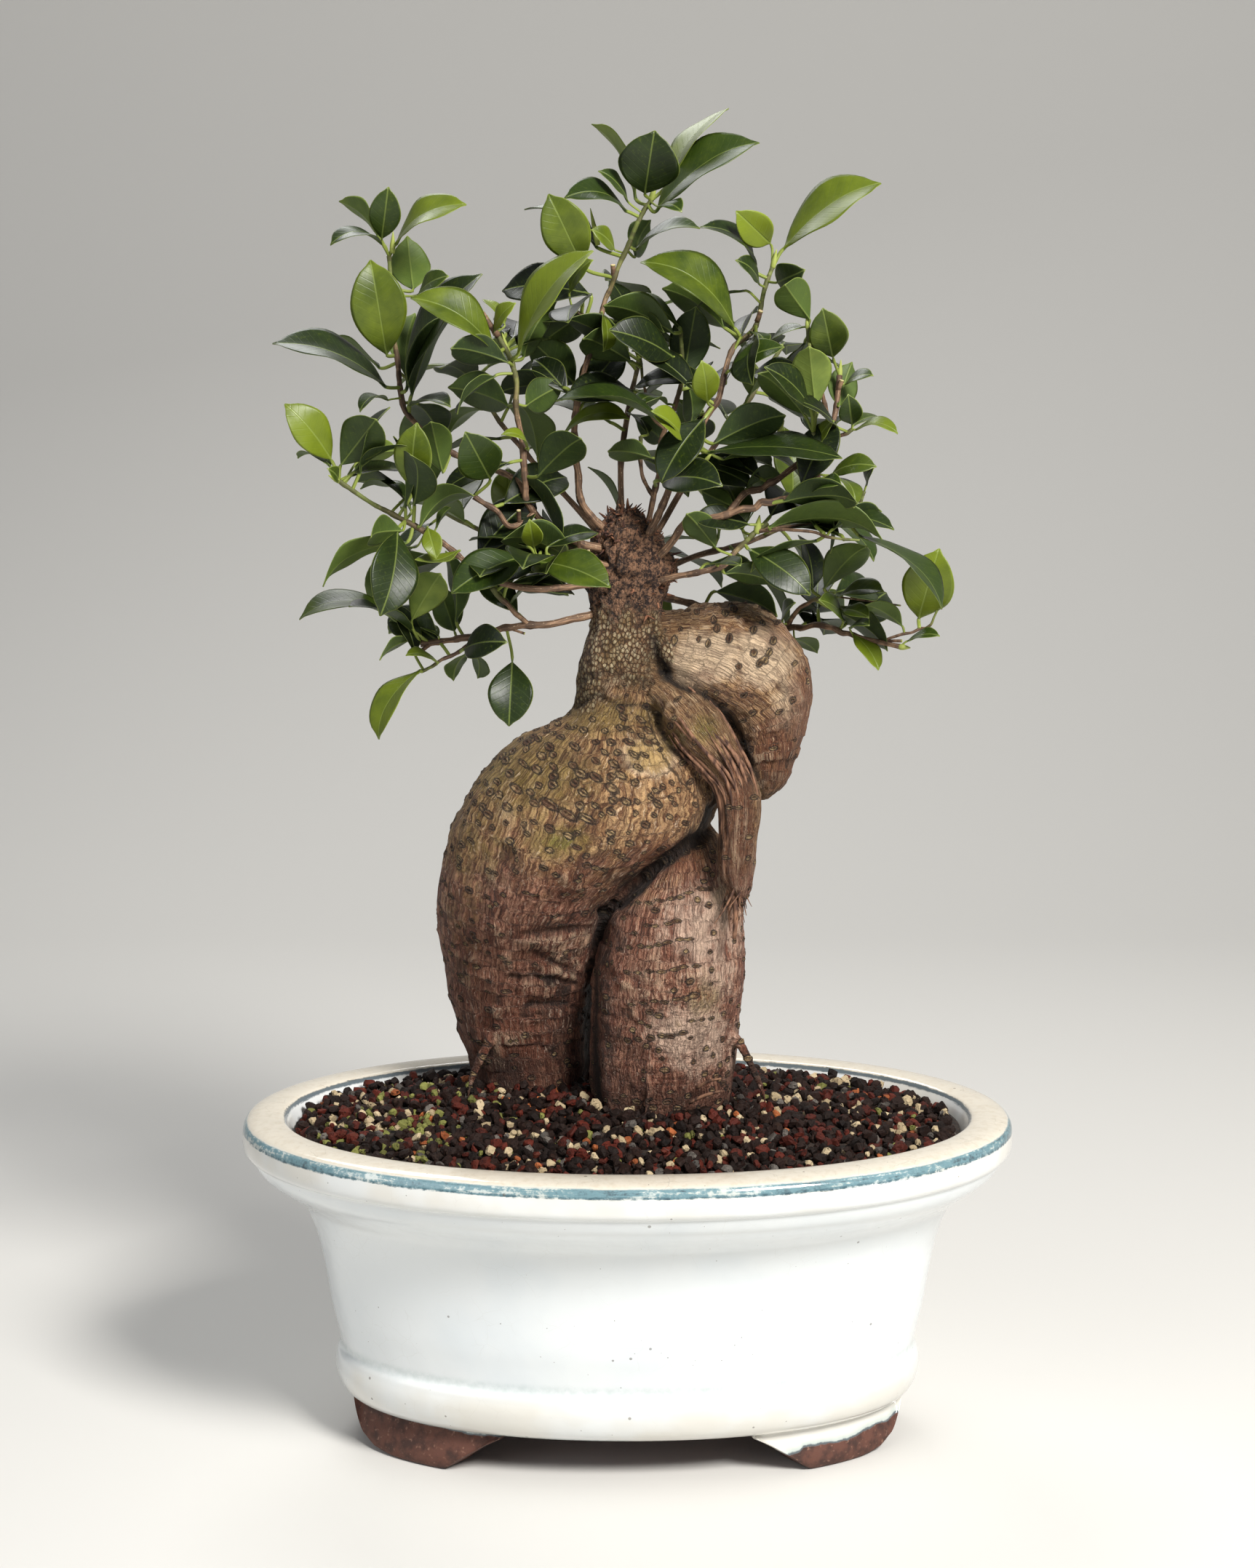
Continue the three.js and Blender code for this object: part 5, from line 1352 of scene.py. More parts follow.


# Leafy stems as they are seen. A path is the radius at its two ends, then x, z and depth from the trunk out.
# A leaf is x, z and depth of its base, the same of its tip, the width that is seen, below 0 where that is
# the underside, its tone from dark 0 to bright 1, which is its own green with painted shade and painted
# back-lit glow, and its arch where that isn't leafShape's own.
sprays = {
    "upperLeft": {
        "paths": [
            ((2.6, 1.3), [(-7, 350, -4), (-12, 351, -7), (-22, 354, -12), (-33, 361, -17), (-38.5, 371, -20),
                (-39, 388, -20), (-42, 403, -20), (-42, 416, -20), (-46, 425, -19), (-49, 431, -18)]),
            ((2, 1.2), [(-38.2, 370, -19), (-43.5, 377, -14), (-56, 382, -6), (-68, 387, -2), (-77, 395, 0),
                (-84.5, 405, 2), (-86, 420, 4), (-88, 440, 6), (-88.8, 459, 8)]),
            ((1.9, 1.5), [(-35, 364, -18), (-43, 358.5, -24), (-50, 364, -26), (-58, 370, -27)]),
        ],
        "leaves": [
            (-90.3, 423, 3, -95.7, 458, -6, 21, 0.7), (-91, 411, 0, -133, 427, -8, 10, 0.3, 0.12),
            (-93, 418, 8, -113, 426.5, 24, -4, 0.45), (-83, 415, 8, -80, 438, 22, -12, 0.5),
            (-83, 410, -2, -54.5, 453, -8, 10, 0.3), (-90, 406, -2, -101, 402, -14, 3, 0.35, 0.2),
            (-91.4, 465.5, 4, -88.7, 484.2, -6, 12, 0.55), (-92.7, 466.3, 10, -106.6, 479.5, 22, -6, 0.6),
            (-91.4, 463.5, 5, -110.9, 463.6, -8, 3, 0.35, 0.2),
            (-86, 463.6, 6, -59.8, 477.9, -4, 8, 0.8, 0.16), (-80, 447, 10, -82, 466, 26, -15.5, 0.55),
            (-78, 445, 4, -67, 452, -8, 6, 0.6), (-50, 424, -24, -81, 444, -32, 12, 0.7, 0.14),
            (-70, 379.5, -6, -74, 398, -18, -13, 0.4), (-82, 404, -2, -66.5, 404.5, -16, 3, 0.3),
            (-41, 423, -25, -13.5, 462, -34, 11, 0.85), (-39, 422, -14, -27, 443, 2, -12, 0.35),
            (-50, 431, -19, -42, 442, -28, 5, 0.85), (-46, 434, -17, -54, 443.5, -8, 4, 0.8),
            (-37.5, 388, -22, -47.5, 393.5, -30, 3, 0.85, 0.2), (-33.5, 378, -26, -17, 392.5, -44, -15, 0.2),
            (-52, 377, -32, -61, 394, -50, 17, 0.5), (-45, 404, -14, -67, 411, 2, -14, 0.3),
            (-38, 404, -16, -24, 412, 2, -13, 0.25),
        ],
    },
    "midLeft": {
        "paths": [
            ((2.4, 1.2), [(-8, 337, -4), (-14, 337, -8), (-27, 335, -15), (-45, 336.5, -23), (-60, 344, -28),
                (-72, 354, -31), (-84, 361, -33), (-95, 366.5, -33), (-105, 373, -34), (-109, 376, -34)]),
        ],
        "leaves": [
            (-112, 384, -34, -128.5, 405, -44, 14, 0.8), (-108, 382, -36, -94.5, 399, -52, -17, 0.25),
            (-112, 381, -34, -124.5, 385, -22, 3, 0.4, 0.16), (-109.5, 376, -37, -113, 380.5, -46, 4, 0.6),
            (-103, 379, -28, -95, 385, -14, -7, 0.3), (-100, 384, -26, -86.5, 387, -12, -8, 0.6),
            (-84, 372, -24, -102.5, 375.5, -12, -5, 0.3), (-82, 365, -30, -101, 373, -22, 3, 0.35, 0.24),
            (-81, 373, -34, -79.5, 397.5, -44, 14, 0.7), (-78.5, 359, -35, -57.5, 371.5, -44, -8, 0.35, 0.2),
            (-75.5, 358, -37, -72.5, 346.5, -44, 7.5, 0.75),
            (-64, 349.5, -34, -80.5, 346.5, -44, 4, 0.75, -0.12), (-85.5, 357, -38, -98, 355, -58, -11, 0.35),
            (-84, 352.5, -34, -117.5, 337, -44, -8, 0.55, 0.14), (-80, 351, -28, -88, 346, -16, -3, 0.3),
            (-72.5, 358, -28, -67, 366, -20, -3, 0.35), (-68, 346, -22, -99.5, 331.5, -2, -13, 0.3),
        ],
    },
    "lowLeft": {
        "paths": [
            ((2.6, 1.6), [(-9, 327, -1), (-15, 325, -3), (-30, 321.5, -8), (-42, 320.5, -10), (-50, 319, -10),
                (-62, 316, -10), (-70, 315, -11), (-79, 314, -12)]),
            ((1.3, 0.9), [(-57, 317.5, -10), (-64, 311, -14), (-73, 306, -18), (-78.5, 303.5, -19)]),
            ((1.6, 1.3), [(-37, 320.8, -9), (-43, 326, -12), (-47, 330, -14), (-51.5, 335.5, -16)]),
        ],
        "leaves": [
            (-88, 323, -14, -126, 325, -20, 6.5, 0.6, 0.17), (-87, 325.5, -9, -97.5, 330.5, 8, 3, 0.7),
            (-82, 323.5, -17, -71, 341, -30, -14, 0.65), (-82, 316, -14, -95, 308, -26, -4, 0.35),
            (-80, 320, -8, -91, 318, 6, -5, 0.3), (-66, 319, -5, -72, 336, 8, -12, 0.35),
            (-62, 312, -19, -46.5, 315, -38, 12, 0.2), (-62, 310, -8, -67, 300.5, 4, -6, 0.3),
            (-58, 310, -6, -57, 301, 8, -7, 0.25), (-44, 307, -16, -45.5, 282.3, -26, 17, 0.3),
            (-72.5, 307, -20, -84.5, 310.3, -30, 3, 0.75), (-79.5, 303.5, -20, -97, 277.5, -30, 9, 0.8, 0.12),
            (-72, 317, -12, -79, 320, -2, 3, 0.6),
        ],
    },
    "frontLeft": {
        "paths": [
            ((1.9, 1.3), [(-6, 344, -8), (-10, 344.5, -12), (-18, 345, -20), (-27, 345, -29),
                (-34, 346.5, -34)]),
        ],
        "leaves": [
            (-40, 347, -38, -67, 333.5, -54, 15, 0.4), (-33, 345, -39, -6.5, 335.8, -54, 13.5, 0.62),
            (-35.5, 351, -36, -37, 361, -46, 8, 0.8), (-30, 351, -30, -11, 356.5, -20, 7.5, 0.25),
            (-38, 351, -30, -60, 353.5, -20, 3, 0.25),
        ],
    },
    "top": {
        "paths": [
            ((2.6, 1.2), [(-5, 354, 0), (-9, 358, -3), (-17, 367, -6), (-19, 380, -6), (-20, 395, -5),
                (-17, 415, -3), (-11, 434, 0), (-7.5, 446, 2), (-3, 456, 2), (2, 467, 3), (5, 474, 3),
                (9, 479.5, 3)]),
            ((1.2, 0.9), [(-11.5, 432, 0), (-16, 437, -4), (-21, 441, -6)]),
        ],
        "leaves": [
            (6.4, 482, 0, 10, 504.5, -14, 23, 0.3), (14, 484, 4, 37, 513, 12, 7, 0.8),
            (10.8, 475.5, -2, 48.3, 502, -10, 12, 0.55), (3, 480, 8, -12, 508, 18, -5, 0.7),
            (0, 479, 0, -10.4, 490.5, -8, 4, 0.5), (-0.7, 475.5, 1, -23.5, 480.5, -14, 7, 0.4, 0.18),
            (12, 477, -6, 20, 476, -20, 4, 0.5), (-17, 456, -3, -29.3, 481.7, -14, 18, 0.7),
            (-11.5, 462.3, 5, -38.3, 477.5, 12, 6, 0.3, 0.14), (-21.5, 446, -7, -13.5, 458, -18, 6, 0.7),
            (-5, 461.5, 3, -13, 469, -8, 6, 0.75), (3.5, 461.5, 2, 27, 469.5, -8, 4, 0.4, 0.14),
            (3, 459, 8, 8, 472, 24, -9, 0.4), (-24, 393.5, -14, 1, 400, -22, 6.5, 0.8, 0.17),
            (-20, 412, 5, -37, 429, 20, -16, 0.25), (-15, 421, 6, -4, 436, 22, -13, 0.4),
            (-9.5, 438, -5, -8.5, 424, -14, 5, 0.7),
        ],
    },
    "centre": {
        "paths": [
            ((2, 1.1), [(4, 352, 2), (7.5, 359, 4), (11, 376, 6), (13.5, 392, 6), (18, 404, 5),
                (20.5, 414, 3), (20, 431, 0)]),
            ((1.2, 1.1), [(9.7, 370, 5), (5.5, 378, 9), (5, 392.5, 9)]),
            ((0.9, 0.8), [(14, 395, 6), (8, 402, 7), (6.3, 412, 7), (4.8, 421.5, 6)]),
        ],
        "leaves": [
            (17, 431, -3, -9, 441, -14, -14, 0.3, 0.14), (19, 433, 3, -9, 442, 12, 4, 0.55, 0.18),
            (16.5, 422, -4, -7, 432, -22, 14, 0.2), (9, 384.5, 5, -7.5, 387, -6, -9, 0.3),
            (13, 391, 10, 3, 399, 24, -10, 0.25), (15, 404.5, 1, 2, 403, -12, 3, 0.4, 0.2),
            (13, 376, -14, 35.5, 375, -36, 13.5, 0.2),
        ],
    },
    "upperRight": {
        "paths": [
            ((2.6, 1.2), [(4, 349, -5), (8.5, 356, -8), (14, 368, -10), (18.5, 380, -12), (24, 389, -13),
                (30, 400, -12), (35, 409, -10), (38, 420, -6), (41, 427, -2), (48, 433.5, 2), (51, 446.5, 4),
                (54, 455, 6)]),
        ],
        "leaves": [
            (58.5, 462, 7, 93.7, 487, -2, 14, 0.75), (53, 463.7, 6, 40.3, 475.5, -8, 13, 0.9),
            (48, 453, 4, 27, 470, -6, 4, 0.3, 0.2), (49, 449, 1, 41, 458, -12, 5, 0.35),
            (56, 449.5, 0, 66, 454, -18, 12, 0.4), (46, 431, -2, 52, 427, -14, 3, 0.4),
            (38.5, 417, -12, 58.7, 426, -20, 8, 0.5), (30, 405.5, -16, 28, 420.5, -28, 10.5, 0.85),
            (39.5, 433, -3, 5, 458.5, -14, 15, 0.65, 0.16), (36, 433, 4, 13.5, 448, 16, -12, 0.5),
            (20, 391.5, -18, -27, 407, -34, 4, 0.35, 0.12), (21, 391, -15, 9, 402, -30, 7, 0.85),
            (25, 391.5, -10, 28, 399.5, 6, 6, 0.6), (33, 390, -17, 60, 401.5, -24, -15, 0.15),
            (31, 386.5, -20, 81, 384.5, -34, 8.5, 0.3, 0.06), (36, 384, -8, 54.5, 381.5, 8, -5, 0.25),
            (24, 397, -6, 22, 414, 10, -10, 0.3),
        ],
    },
    "midRight": {
        "paths": [
            ((2.6, 1.5), [(5, 343, -4), (10, 346, -8), (17, 353, -14), (23, 360.5, -19), (35, 363, -22),
                (45, 365.5, -22), (52, 367, -22), (60, 369.5, -22), (66, 372, -21), (71, 376, -19),
                (73, 385, -14), (76, 393, -8), (78.5, 404, -4), (79.5, 415, 0)]),
            ((1.5, 1.1), [(76.5, 395, -7), (73.5, 408, -10), (69, 420, -11), (67.5, 433, -11)]),
            ((1.9, 1.8), [(38, 363.6, -20), (44, 371, -16), (52, 374, -14), (57, 377, -13),
                (66.5, 383.5, -11)]),
            ((1.4, 1), [(76, 391.5, -9), (80, 393, -11), (84.5, 395, -12)]),
            ((1.4, 1.2), [(72.5, 383, -15), (71, 388, -17), (70, 394, -17)]),
        ],
        "leaves": [
            (77, 422, -3, 73, 440, -16, 15, 0.6), (82, 412, -1, 92, 415.7, -12, 4, 0.55),
            (68, 436, -12, 58, 449.5, -26, -14, 0.4), (65.5, 433, -9, 53, 427.5, 2, 3, 0.6),
            (66, 401, -18, 49, 417, -26, -12, 0.35), (68, 403.5, -22, 51.5, 418.5, -36, 9, 0.25),
            (70.5, 404, -20, 68, 426, -32, -15, 0.65), (79.5, 404, -6, 84, 420, 8, -12, 0.4),
            (71.8, 389.5, -14, 77.5, 398.5, -22, 4.5, 0.75), (84.5, 397, -13, 83, 408, -24, 9, 0.5),
            (86, 395, -13, 102, 393.8, -22, 3.5, 0.75, 0.18), (85, 396.5, -10, 96.5, 399.5, 2, 4, 0.6),
            (77, 378, -20, 94, 381.5, -30, 7, 0.6, 0.14), (77, 377, -23, 86.5, 366, -36, 4.5, 0.65, 0.2),
            (70, 371.8, -25, 80.5, 375.3, -40, 4.5, 0.5), (45, 373, -10, 58, 378, 4, -9, 0.35),
            (40, 366, -18, 28, 372, -9, -9, 0.3),
        ],
    },
    "frontRight": {
        "paths": [
            ((2.2, 1.3), [(6, 336, -3), (12, 338, -9), (25, 341, -14), (36, 344, -16), (42, 350, -15),
                (48, 356, -14), (53, 360, -13)]),
            ((1.2, 0.9), [(50, 357.5, -13.5), (68, 359, -9), (84, 360, -7), (87, 364, -7), (89.5, 372, -7)]),
            ((1.1, 0.7), [(49, 357, -14), (60, 357.3, -20), (73, 356.5, -24), (77, 354.2, -26),
                (88, 353.5, -28)]),
        ],
        "leaves": [
            (54, 358.5, -18, 98, 356, -30, -9, 0.4, 0.12), (72, 361.5, -11, 101, 357.5, -22, 6, 0.35, 0.1),
            (88, 355, -10, 122, 329, -30, 6.5, 0.5), (90.5, 375, -8, 93, 381, -20, 4, 0.5),
            (46, 350, -13, 70, 333, -24, 15, 0.3), (34, 344.2, -20, 43, 344, -34, 3.5, 0.35),
            (43.5, 357.5, -9, 36.5, 376.5, 6, 12, 0.6), (37, 341, -13, 57, 337, -2, -9, 0.25),
        ],
    },
    "lowRight": {
        "paths": [
            ((2.6, 1.4), [(4, 333, 5), (9, 333, 12), (22, 330, 24), (40, 324.5, 31), (52, 321, 30),
                (61, 319.5, 23), (70, 321, 15), (78, 320, 10), (84, 318, 8), (92.5, 315.5, 4),
                (104, 313, 0)]),
            ((1.5, 1.1), [(60, 319.5, 23.5), (66, 328, 16), (73, 331.5, 11), (76.5, 332.5, 9)]),
            ((1, 0.7), [(96, 314.3, 2.5), (103, 317.3, 4), (110, 319.6, 4), (115, 321, 2), (118, 327, 0)]),
        ],
        "leaves": [
            (111, 324, 6, 118, 350, -9, 20, 0.8), (104.5, 321, 5, 90.5, 329, -4, -7, 0.45),
            (75, 335.5, 8, 91, 352, -8, -13, 0.35), (80, 332, 8, 97.5, 334, -6, 6, 0.6),
            (86, 317.5, 6, 96, 304, -6, 7, 0.8), (85, 320, 3, 92, 321.5, -10, 3, 0.4),
            (107, 315.2, 0, 119, 317.5, -8, 3.5, 0.5), (82, 323, 8, 73, 331, -8, 5, 0.6),
            (82, 327, 4, 92, 324, -8, 6, 0.6), (64, 316, 20, 72.5, 310.5, 30, -6, 0.35),
            (59, 322, 20, 63.5, 330, 6, 3, 0.6), (34, 334, 22, 58, 325, 8, -13, 0.2),
        ],
    },
}

# Stems at the back: their leaves stand round the outer part of each at the golden angle.
# The points are true x, y and z.
backSprays = {
    "backLeftHigh": {"seed": 11, "count": 9, "points": [
        (-5, 4, 348), (-9, 11, 353), (-30, 26, 376), (-50, 36, 398), (-62, 42, 420)]},
    "backHigh": {"seed": 23, "count": 9, "points": [
        (-1, 5, 350), (-2, 12, 357), (-2, 34, 388), (4, 48, 418), (8, 52, 442)]},
    "backRightHigh": {"seed": 37, "count": 9, "points": [
        (4, 4, 344), (8, 11, 350), (26, 26, 378), (46, 36, 404), (60, 42, 426)]},
    "backLeft": {"seed": 41, "count": 8, "points": [
        (-6, 5, 338), (-11, 11, 340), (-34, 34, 346), (-58, 50, 354), (-78, 56, 364)]},
    "backRight": {"seed": 71, "count": 8, "points": [
        (6, 5, 338), (11, 11, 341), (34, 35, 347), (58, 50, 354), (78, 54, 364)]},
    "back": {"seed": 67, "count": 7, "points": [
        (0, 5, 334), (0, 14, 336), (0, 38, 342), (2, 56, 350)]},
}

# Small things on the stems, as seen: buds are base and tip with depths and radius, stubs the same
buds = {
    "upperLeft": [(-87.6, 460, 7, -87.2, 468, 6, 1.1), (-49.5, 430, -18, -52.5, 437.5, -18, 0.9),
                  (-44.5, 423, -19, -47, 431, -18, 0.9)],
    "top": [(-11, 463, 3, -13.8, 476.5, 3, 1.1), (8.5, 479, 3, 11, 487, 2, 1.1)],
    "midRight": [(71.3, 401, -12, 71, 410, -12, 0.9), (79.5, 414, 0, 80, 421, 0, 1.0),
                 (67.5, 432, -11, 67, 438, -11, 0.9)],
    "frontRight": [(49, 356, -14, 50, 363, -15, 1.4)],
    "upperRight": [(56.5, 392.5, -13, 59, 398.5, -13, 0.9), (54, 454.5, 6, 55.5, 461.5, 5, 1.1)],
    "centre": [(27.5, 380.5, -14, 32.5, 387.5, -15, 1.0)],
    "midLeft": [(-108.5, 375.5, -34, -113, 378, -35, 1.0)],
    "lowRight": [(103.5, 313, 0, 108, 312.5, -1, 1.2)],
}

# Cut stubs and dry bits in the same terms
stubs = {
    "upperLeft": [(-60.5, 421, -8, -67, 430, -9, 1.1), (-43, 355, -14, -43.2, 360, -16, 0.8)],
    "top": [(-3.5, 450, 3, -3.7, 455, 1, 0.9), (4.8, 415, 2, 4.9, 421.5, 0, 0.6)],
    "midRight": [(80.5, 410, -4, 82, 414, -5, 0.9), (63.5, 380, -12, 66.5, 383.5, -14, 0.8)],
    "upperRight": [(54.5, 433, 2, 56, 437, 0, 0.9), (5, 388, -6, 5.2, 392.5, -7, 0.7)],
    "lowLeft": [(-75, 317, -22, -79, 314, -24, 0.8), (-44, 309, -20, -38, 307, -20, 0.5)],
    "centre": [(17.5, 351, -12, 17.7, 354.8, -14, 0.6), (18.5, 342, -10, 19, 345.5, -12, 0.6)],
    "frontLeft": [(-19, 379, -14, -19.5, 388, -16, 0.7), (-17, 358, -12, -18, 363, -14, 0.7)],
    "lowRight": [(93, 313, 0, 104, 313, -1, 0.6), (60, 357.3, -8, 88, 353.5, -12, 0.35)],
}

leafShape = {
    # inner leaves: their number on a front stem, the heights, half-width and depth that they stay within,
    # and the x and z ranges of the crown that stay open
    "inner": 9, "innerRange": (318, 448, 96, -50),
    "open": [(-16, 4, 362, 408), (-102, -46, 342, 374), (-70, -20, 300, 332), (20, 70, 318, 335),
             (-26, 26, 300, 358)],
    "ratio": 0.56, "arch": 0.09, "fold": 0.2, "thickness": 0.22, "stalkRadius": 0.62,
    "rows": 18, "stalkRows": 7,
    "across": (-1, -0.86, -0.62, -0.34, -0.08, 0, 0.08, 0.34, 0.62, 0.86, 1),
    # twigs are that much thinner than their paths say; the radii of a back stem's two ends
    "twigScale": 0.62, "backRadii": (2.4, 1.1), "seed": 101,
}
goldenAngle = math.pi * (3 - math.sqrt(5))


# The way that a leaf's upper face looks: towards the eye or away from it, always leaning up, turned so far
# about the leaf that its width is seen as given
def upperFaces(base, along, share, side):
    toEye = unit(np.array([0, -eye["distance"], eye["height"]]) - base)
    facing = unit(toEye - along * dot(toEye, along))
    across = np.cross(along, facing)
    across = across * np.where(across[:, 2:] < 0, -1, 1)
    return facing * (share * side)[:, None] + across * np.sqrt(1 - share**2)[:, None]


def randomFrom(state):
    while True:
        state = (state * 1664525 + 1013904223) % 4294967296
        yield state / 4294967296


def nearestOnPaths(lines, targets):
    t = (np.arange(9) / 8)[None, :, None]
    spots = [(line[:-1, None] * (1 - t) + line[1:, None] * t).reshape(-1, 3) for line in lines]
    spots = np.concatenate(spots)
    far = ((targets[:, None] - spots[None]) ** 2).sum(-1)
    return spots[far.argmin(1)]


# A leaf's half-width along it, as a share of the widest: widest past its middle, with a short blunt tip
def leafOutline(t):
    body = np.maximum(np.sin(math.pi * np.clip(t / 0.965, 0, 1) ** 1.16) ** 0.74, 0)
    tip = 0.12 * np.clip((1 - t) / 0.12, 0, 1) ** 0.7 * softStep(0.6, 0.85, t)
    return body + tip * (1 - body)


# Leaves with their stalks, each one skin: rings round the stalk that widen into the blade.
# The values are arrays with one row a leaf; random gives each its own slight twist and waves.
def leafSet(start, base, tip, face, width, arch, tone, random):
    count = len(base)
    chord = tip - base
    length = np.linalg.norm(chord, axis=1)[:, None]
    ahead = unit(chord)
    blade = np.linspace(0, 1, leafShape["rows"]) ** 0.93
    stalk = np.arange(leafShape["stalkRows"]) / leafShape["stalkRows"]
    # the stalk leaves its twig towards the leaf and bends into the leaf's own way
    reach = base - start
    far = np.linalg.norm(reach, axis=1, keepdims=True)
    leave, arrive = unit(reach + 1e-6) * far, ahead * far
    s = stalk[None, :, None]
    stalkLine = (start[:, None] * (2 * s**3 - 3 * s**2 + 1) + leave[:, None] * (s**3 - 2 * s**2 + s)
                 + base[:, None] * (3 * s**2 - 2 * s**3) + arrive[:, None] * (s**3 - s**2))
    t = blade[None, :, None]
    lift = (arch[:, None] * length)[..., None] * 4 * t * (1 - t)
    random.random(count)  # an unused draw, so that the later ones stay as they are
    line = np.concatenate([stalkLine, base[:, None] + chord[:, None] * t + face[:, None] * lift], 1)
    along = unit(np.gradient(line, axis=1))
    twist = random.uniform(-0.22, 0.22, count)[:, None] * (blade[None] - 0.35)
    bladeAcross = (np.cross(ahead, face)[:, None] * np.cos(twist)[..., None]
                   + face[:, None] * np.sin(twist)[..., None])
    # the blade's side vector, carried back down the stalk without twist
    sides, carried = [], bladeAcross[:, 0]
    for row in range(leafShape["stalkRows"] - 1, -1, -1):
        carried = unit(carried - along[:, row] * dot(carried, along[:, row]))
        sides.insert(0, carried)
    across = np.concatenate([np.stack(sides, 1), bladeAcross], 1)
    across = unit(across - along * dot(across, along))
    up = np.cross(across, along)
    # the ring: flat places over the blade, a circle round the stalk
    flat = np.array(leafShape["across"])
    bow = np.arange(len(flat)) * math.pi / (len(flat) - 1)
    u = np.concatenate([flat, flat[-2:0:-1]])
    cosine = np.concatenate([-np.cos(bow), -np.cos(bow[-2:0:-1])])
    sine = np.concatenate([np.sin(bow), -np.sin(bow[-2:0:-1])])
    half = width[:, None] / 2 * leafOutline(blade)[None]
    radius = leafShape["stalkRadius"] * np.clip(length / 26, 0.6, 1.15)
    half = np.concatenate([np.repeat(radius, leafShape["stalkRows"], 1), np.maximum(half, radius * 0.5)], 1)
    spread = np.concatenate([0 * stalk, softStep(0.0, 0.09, blade)])[None, :, None]
    sideways = half[..., None] * (cosine * (1 - spread) + u * spread)
    wave = random.uniform(0, 2 * math.pi, (count, 4))
    alongBlade = np.concatenate([0 * stalk, blade])[None, :, None]
    ripple = sum(np.sin(wave[:, i:i + 1, None] + alongBlade * random.uniform(7, 12, (count, 1, 1))) * chosen
                 for i, chosen in enumerate((u > 0, u < 0)))
    fold = leafShape["fold"] * np.clip(random.normal(1, 0.25, (count, 1, 1)), 0.4, 1.6)
    valley = half[..., None] * (fold * (np.sqrt(u * u + 0.012) - 0.11) + 0.06 * ripple * u * u)
    # a soft bend of the tip, away from the upper face
    droop = -random.uniform(0, 0.07, (count, 1, 1)) * length[..., None]
    droop = droop * np.clip(alongBlade - 0.6, 0, 1) ** 2 * 6
    keel = 0.42 * bell(u / 0.07) * (sine < 0.01) * (1 - 0.8 * alongBlade)
    thick = leafShape["thickness"] * np.sqrt(np.maximum(1 - u * u, 0)) * np.sign(sine)
    raised = radius[..., None] * sine * (1 - spread) + (thick - keel + valley + droop) * spread
    rings = line[:, :, None] + across[:, :, None] * sideways[..., None] + up[:, :, None] * raised[..., None]
    side = np.where(np.abs(u) == 1, 0.0, np.sign(sine))
    isBlade = np.concatenate([0 * stalk, np.ones(len(blade))])[None, :, None]
    own = together(tone[:, None, None], isBlade, random.uniform(0, 1, (count, 1, 1)))
    size = together(half[..., None], length[..., None], far[..., None])
    return rings, {"ownSpot": together(u, alongBlade, side), "own": own, "size": size}


# A twig: rings round a smooth path, swollen where leaves and old scars sit
def twigRings(line, ends, knots, random, sides):
    smooth = smoothRows(line, 7)
    # small bends of its own, none at its ends
    bends = smoothRows(random.normal(0, 0.4, (len(line) * 2, 3)), 8)
    places = np.linspace(0, len(bends) - 1, len(smooth))
    bends = together(*(np.interp(places, np.arange(len(bends)), part) for part in bends.T))
    smooth = smooth + bends * np.sin(np.linspace(0, math.pi, len(smooth)))[:, None]
    length = lengthAlong(smooth)
    share = length / length[-1]
    swell = np.zeros(len(smooth))
    for knot in knots:
        far = np.linalg.norm(smooth - knot, axis=1)
        if far.min() < 3.5:
            swell = np.maximum(swell, 0.28 * bell((length - length[far.argmin()]) / 1.5))
    scars = np.cumsum(random.uniform(2.5, 8, 60))
    for scar in scars[scars < length[-1]]:
        swell = np.maximum(swell, random.uniform(0.08, 0.24) * bell((length - scar) / 0.9))
    radii = leafShape["twigScale"] * (ends[0] + (ends[1] - ends[0]) * share**0.7)
    radii = radii * (1 + swell) * (1 + 0.05 * np.sin(length * 0.9))
    turn = turns(sides)[None]
    young = softStep(0.55, 1.0, share) * (ends[1] < 1.35)
    own = together(young, swell, random.uniform(0, 1))[:, None]
    return stemRings(smooth, radii, sides), together(3 * np.cos(turn), 3 * np.sin(turn), length[:, None]), own


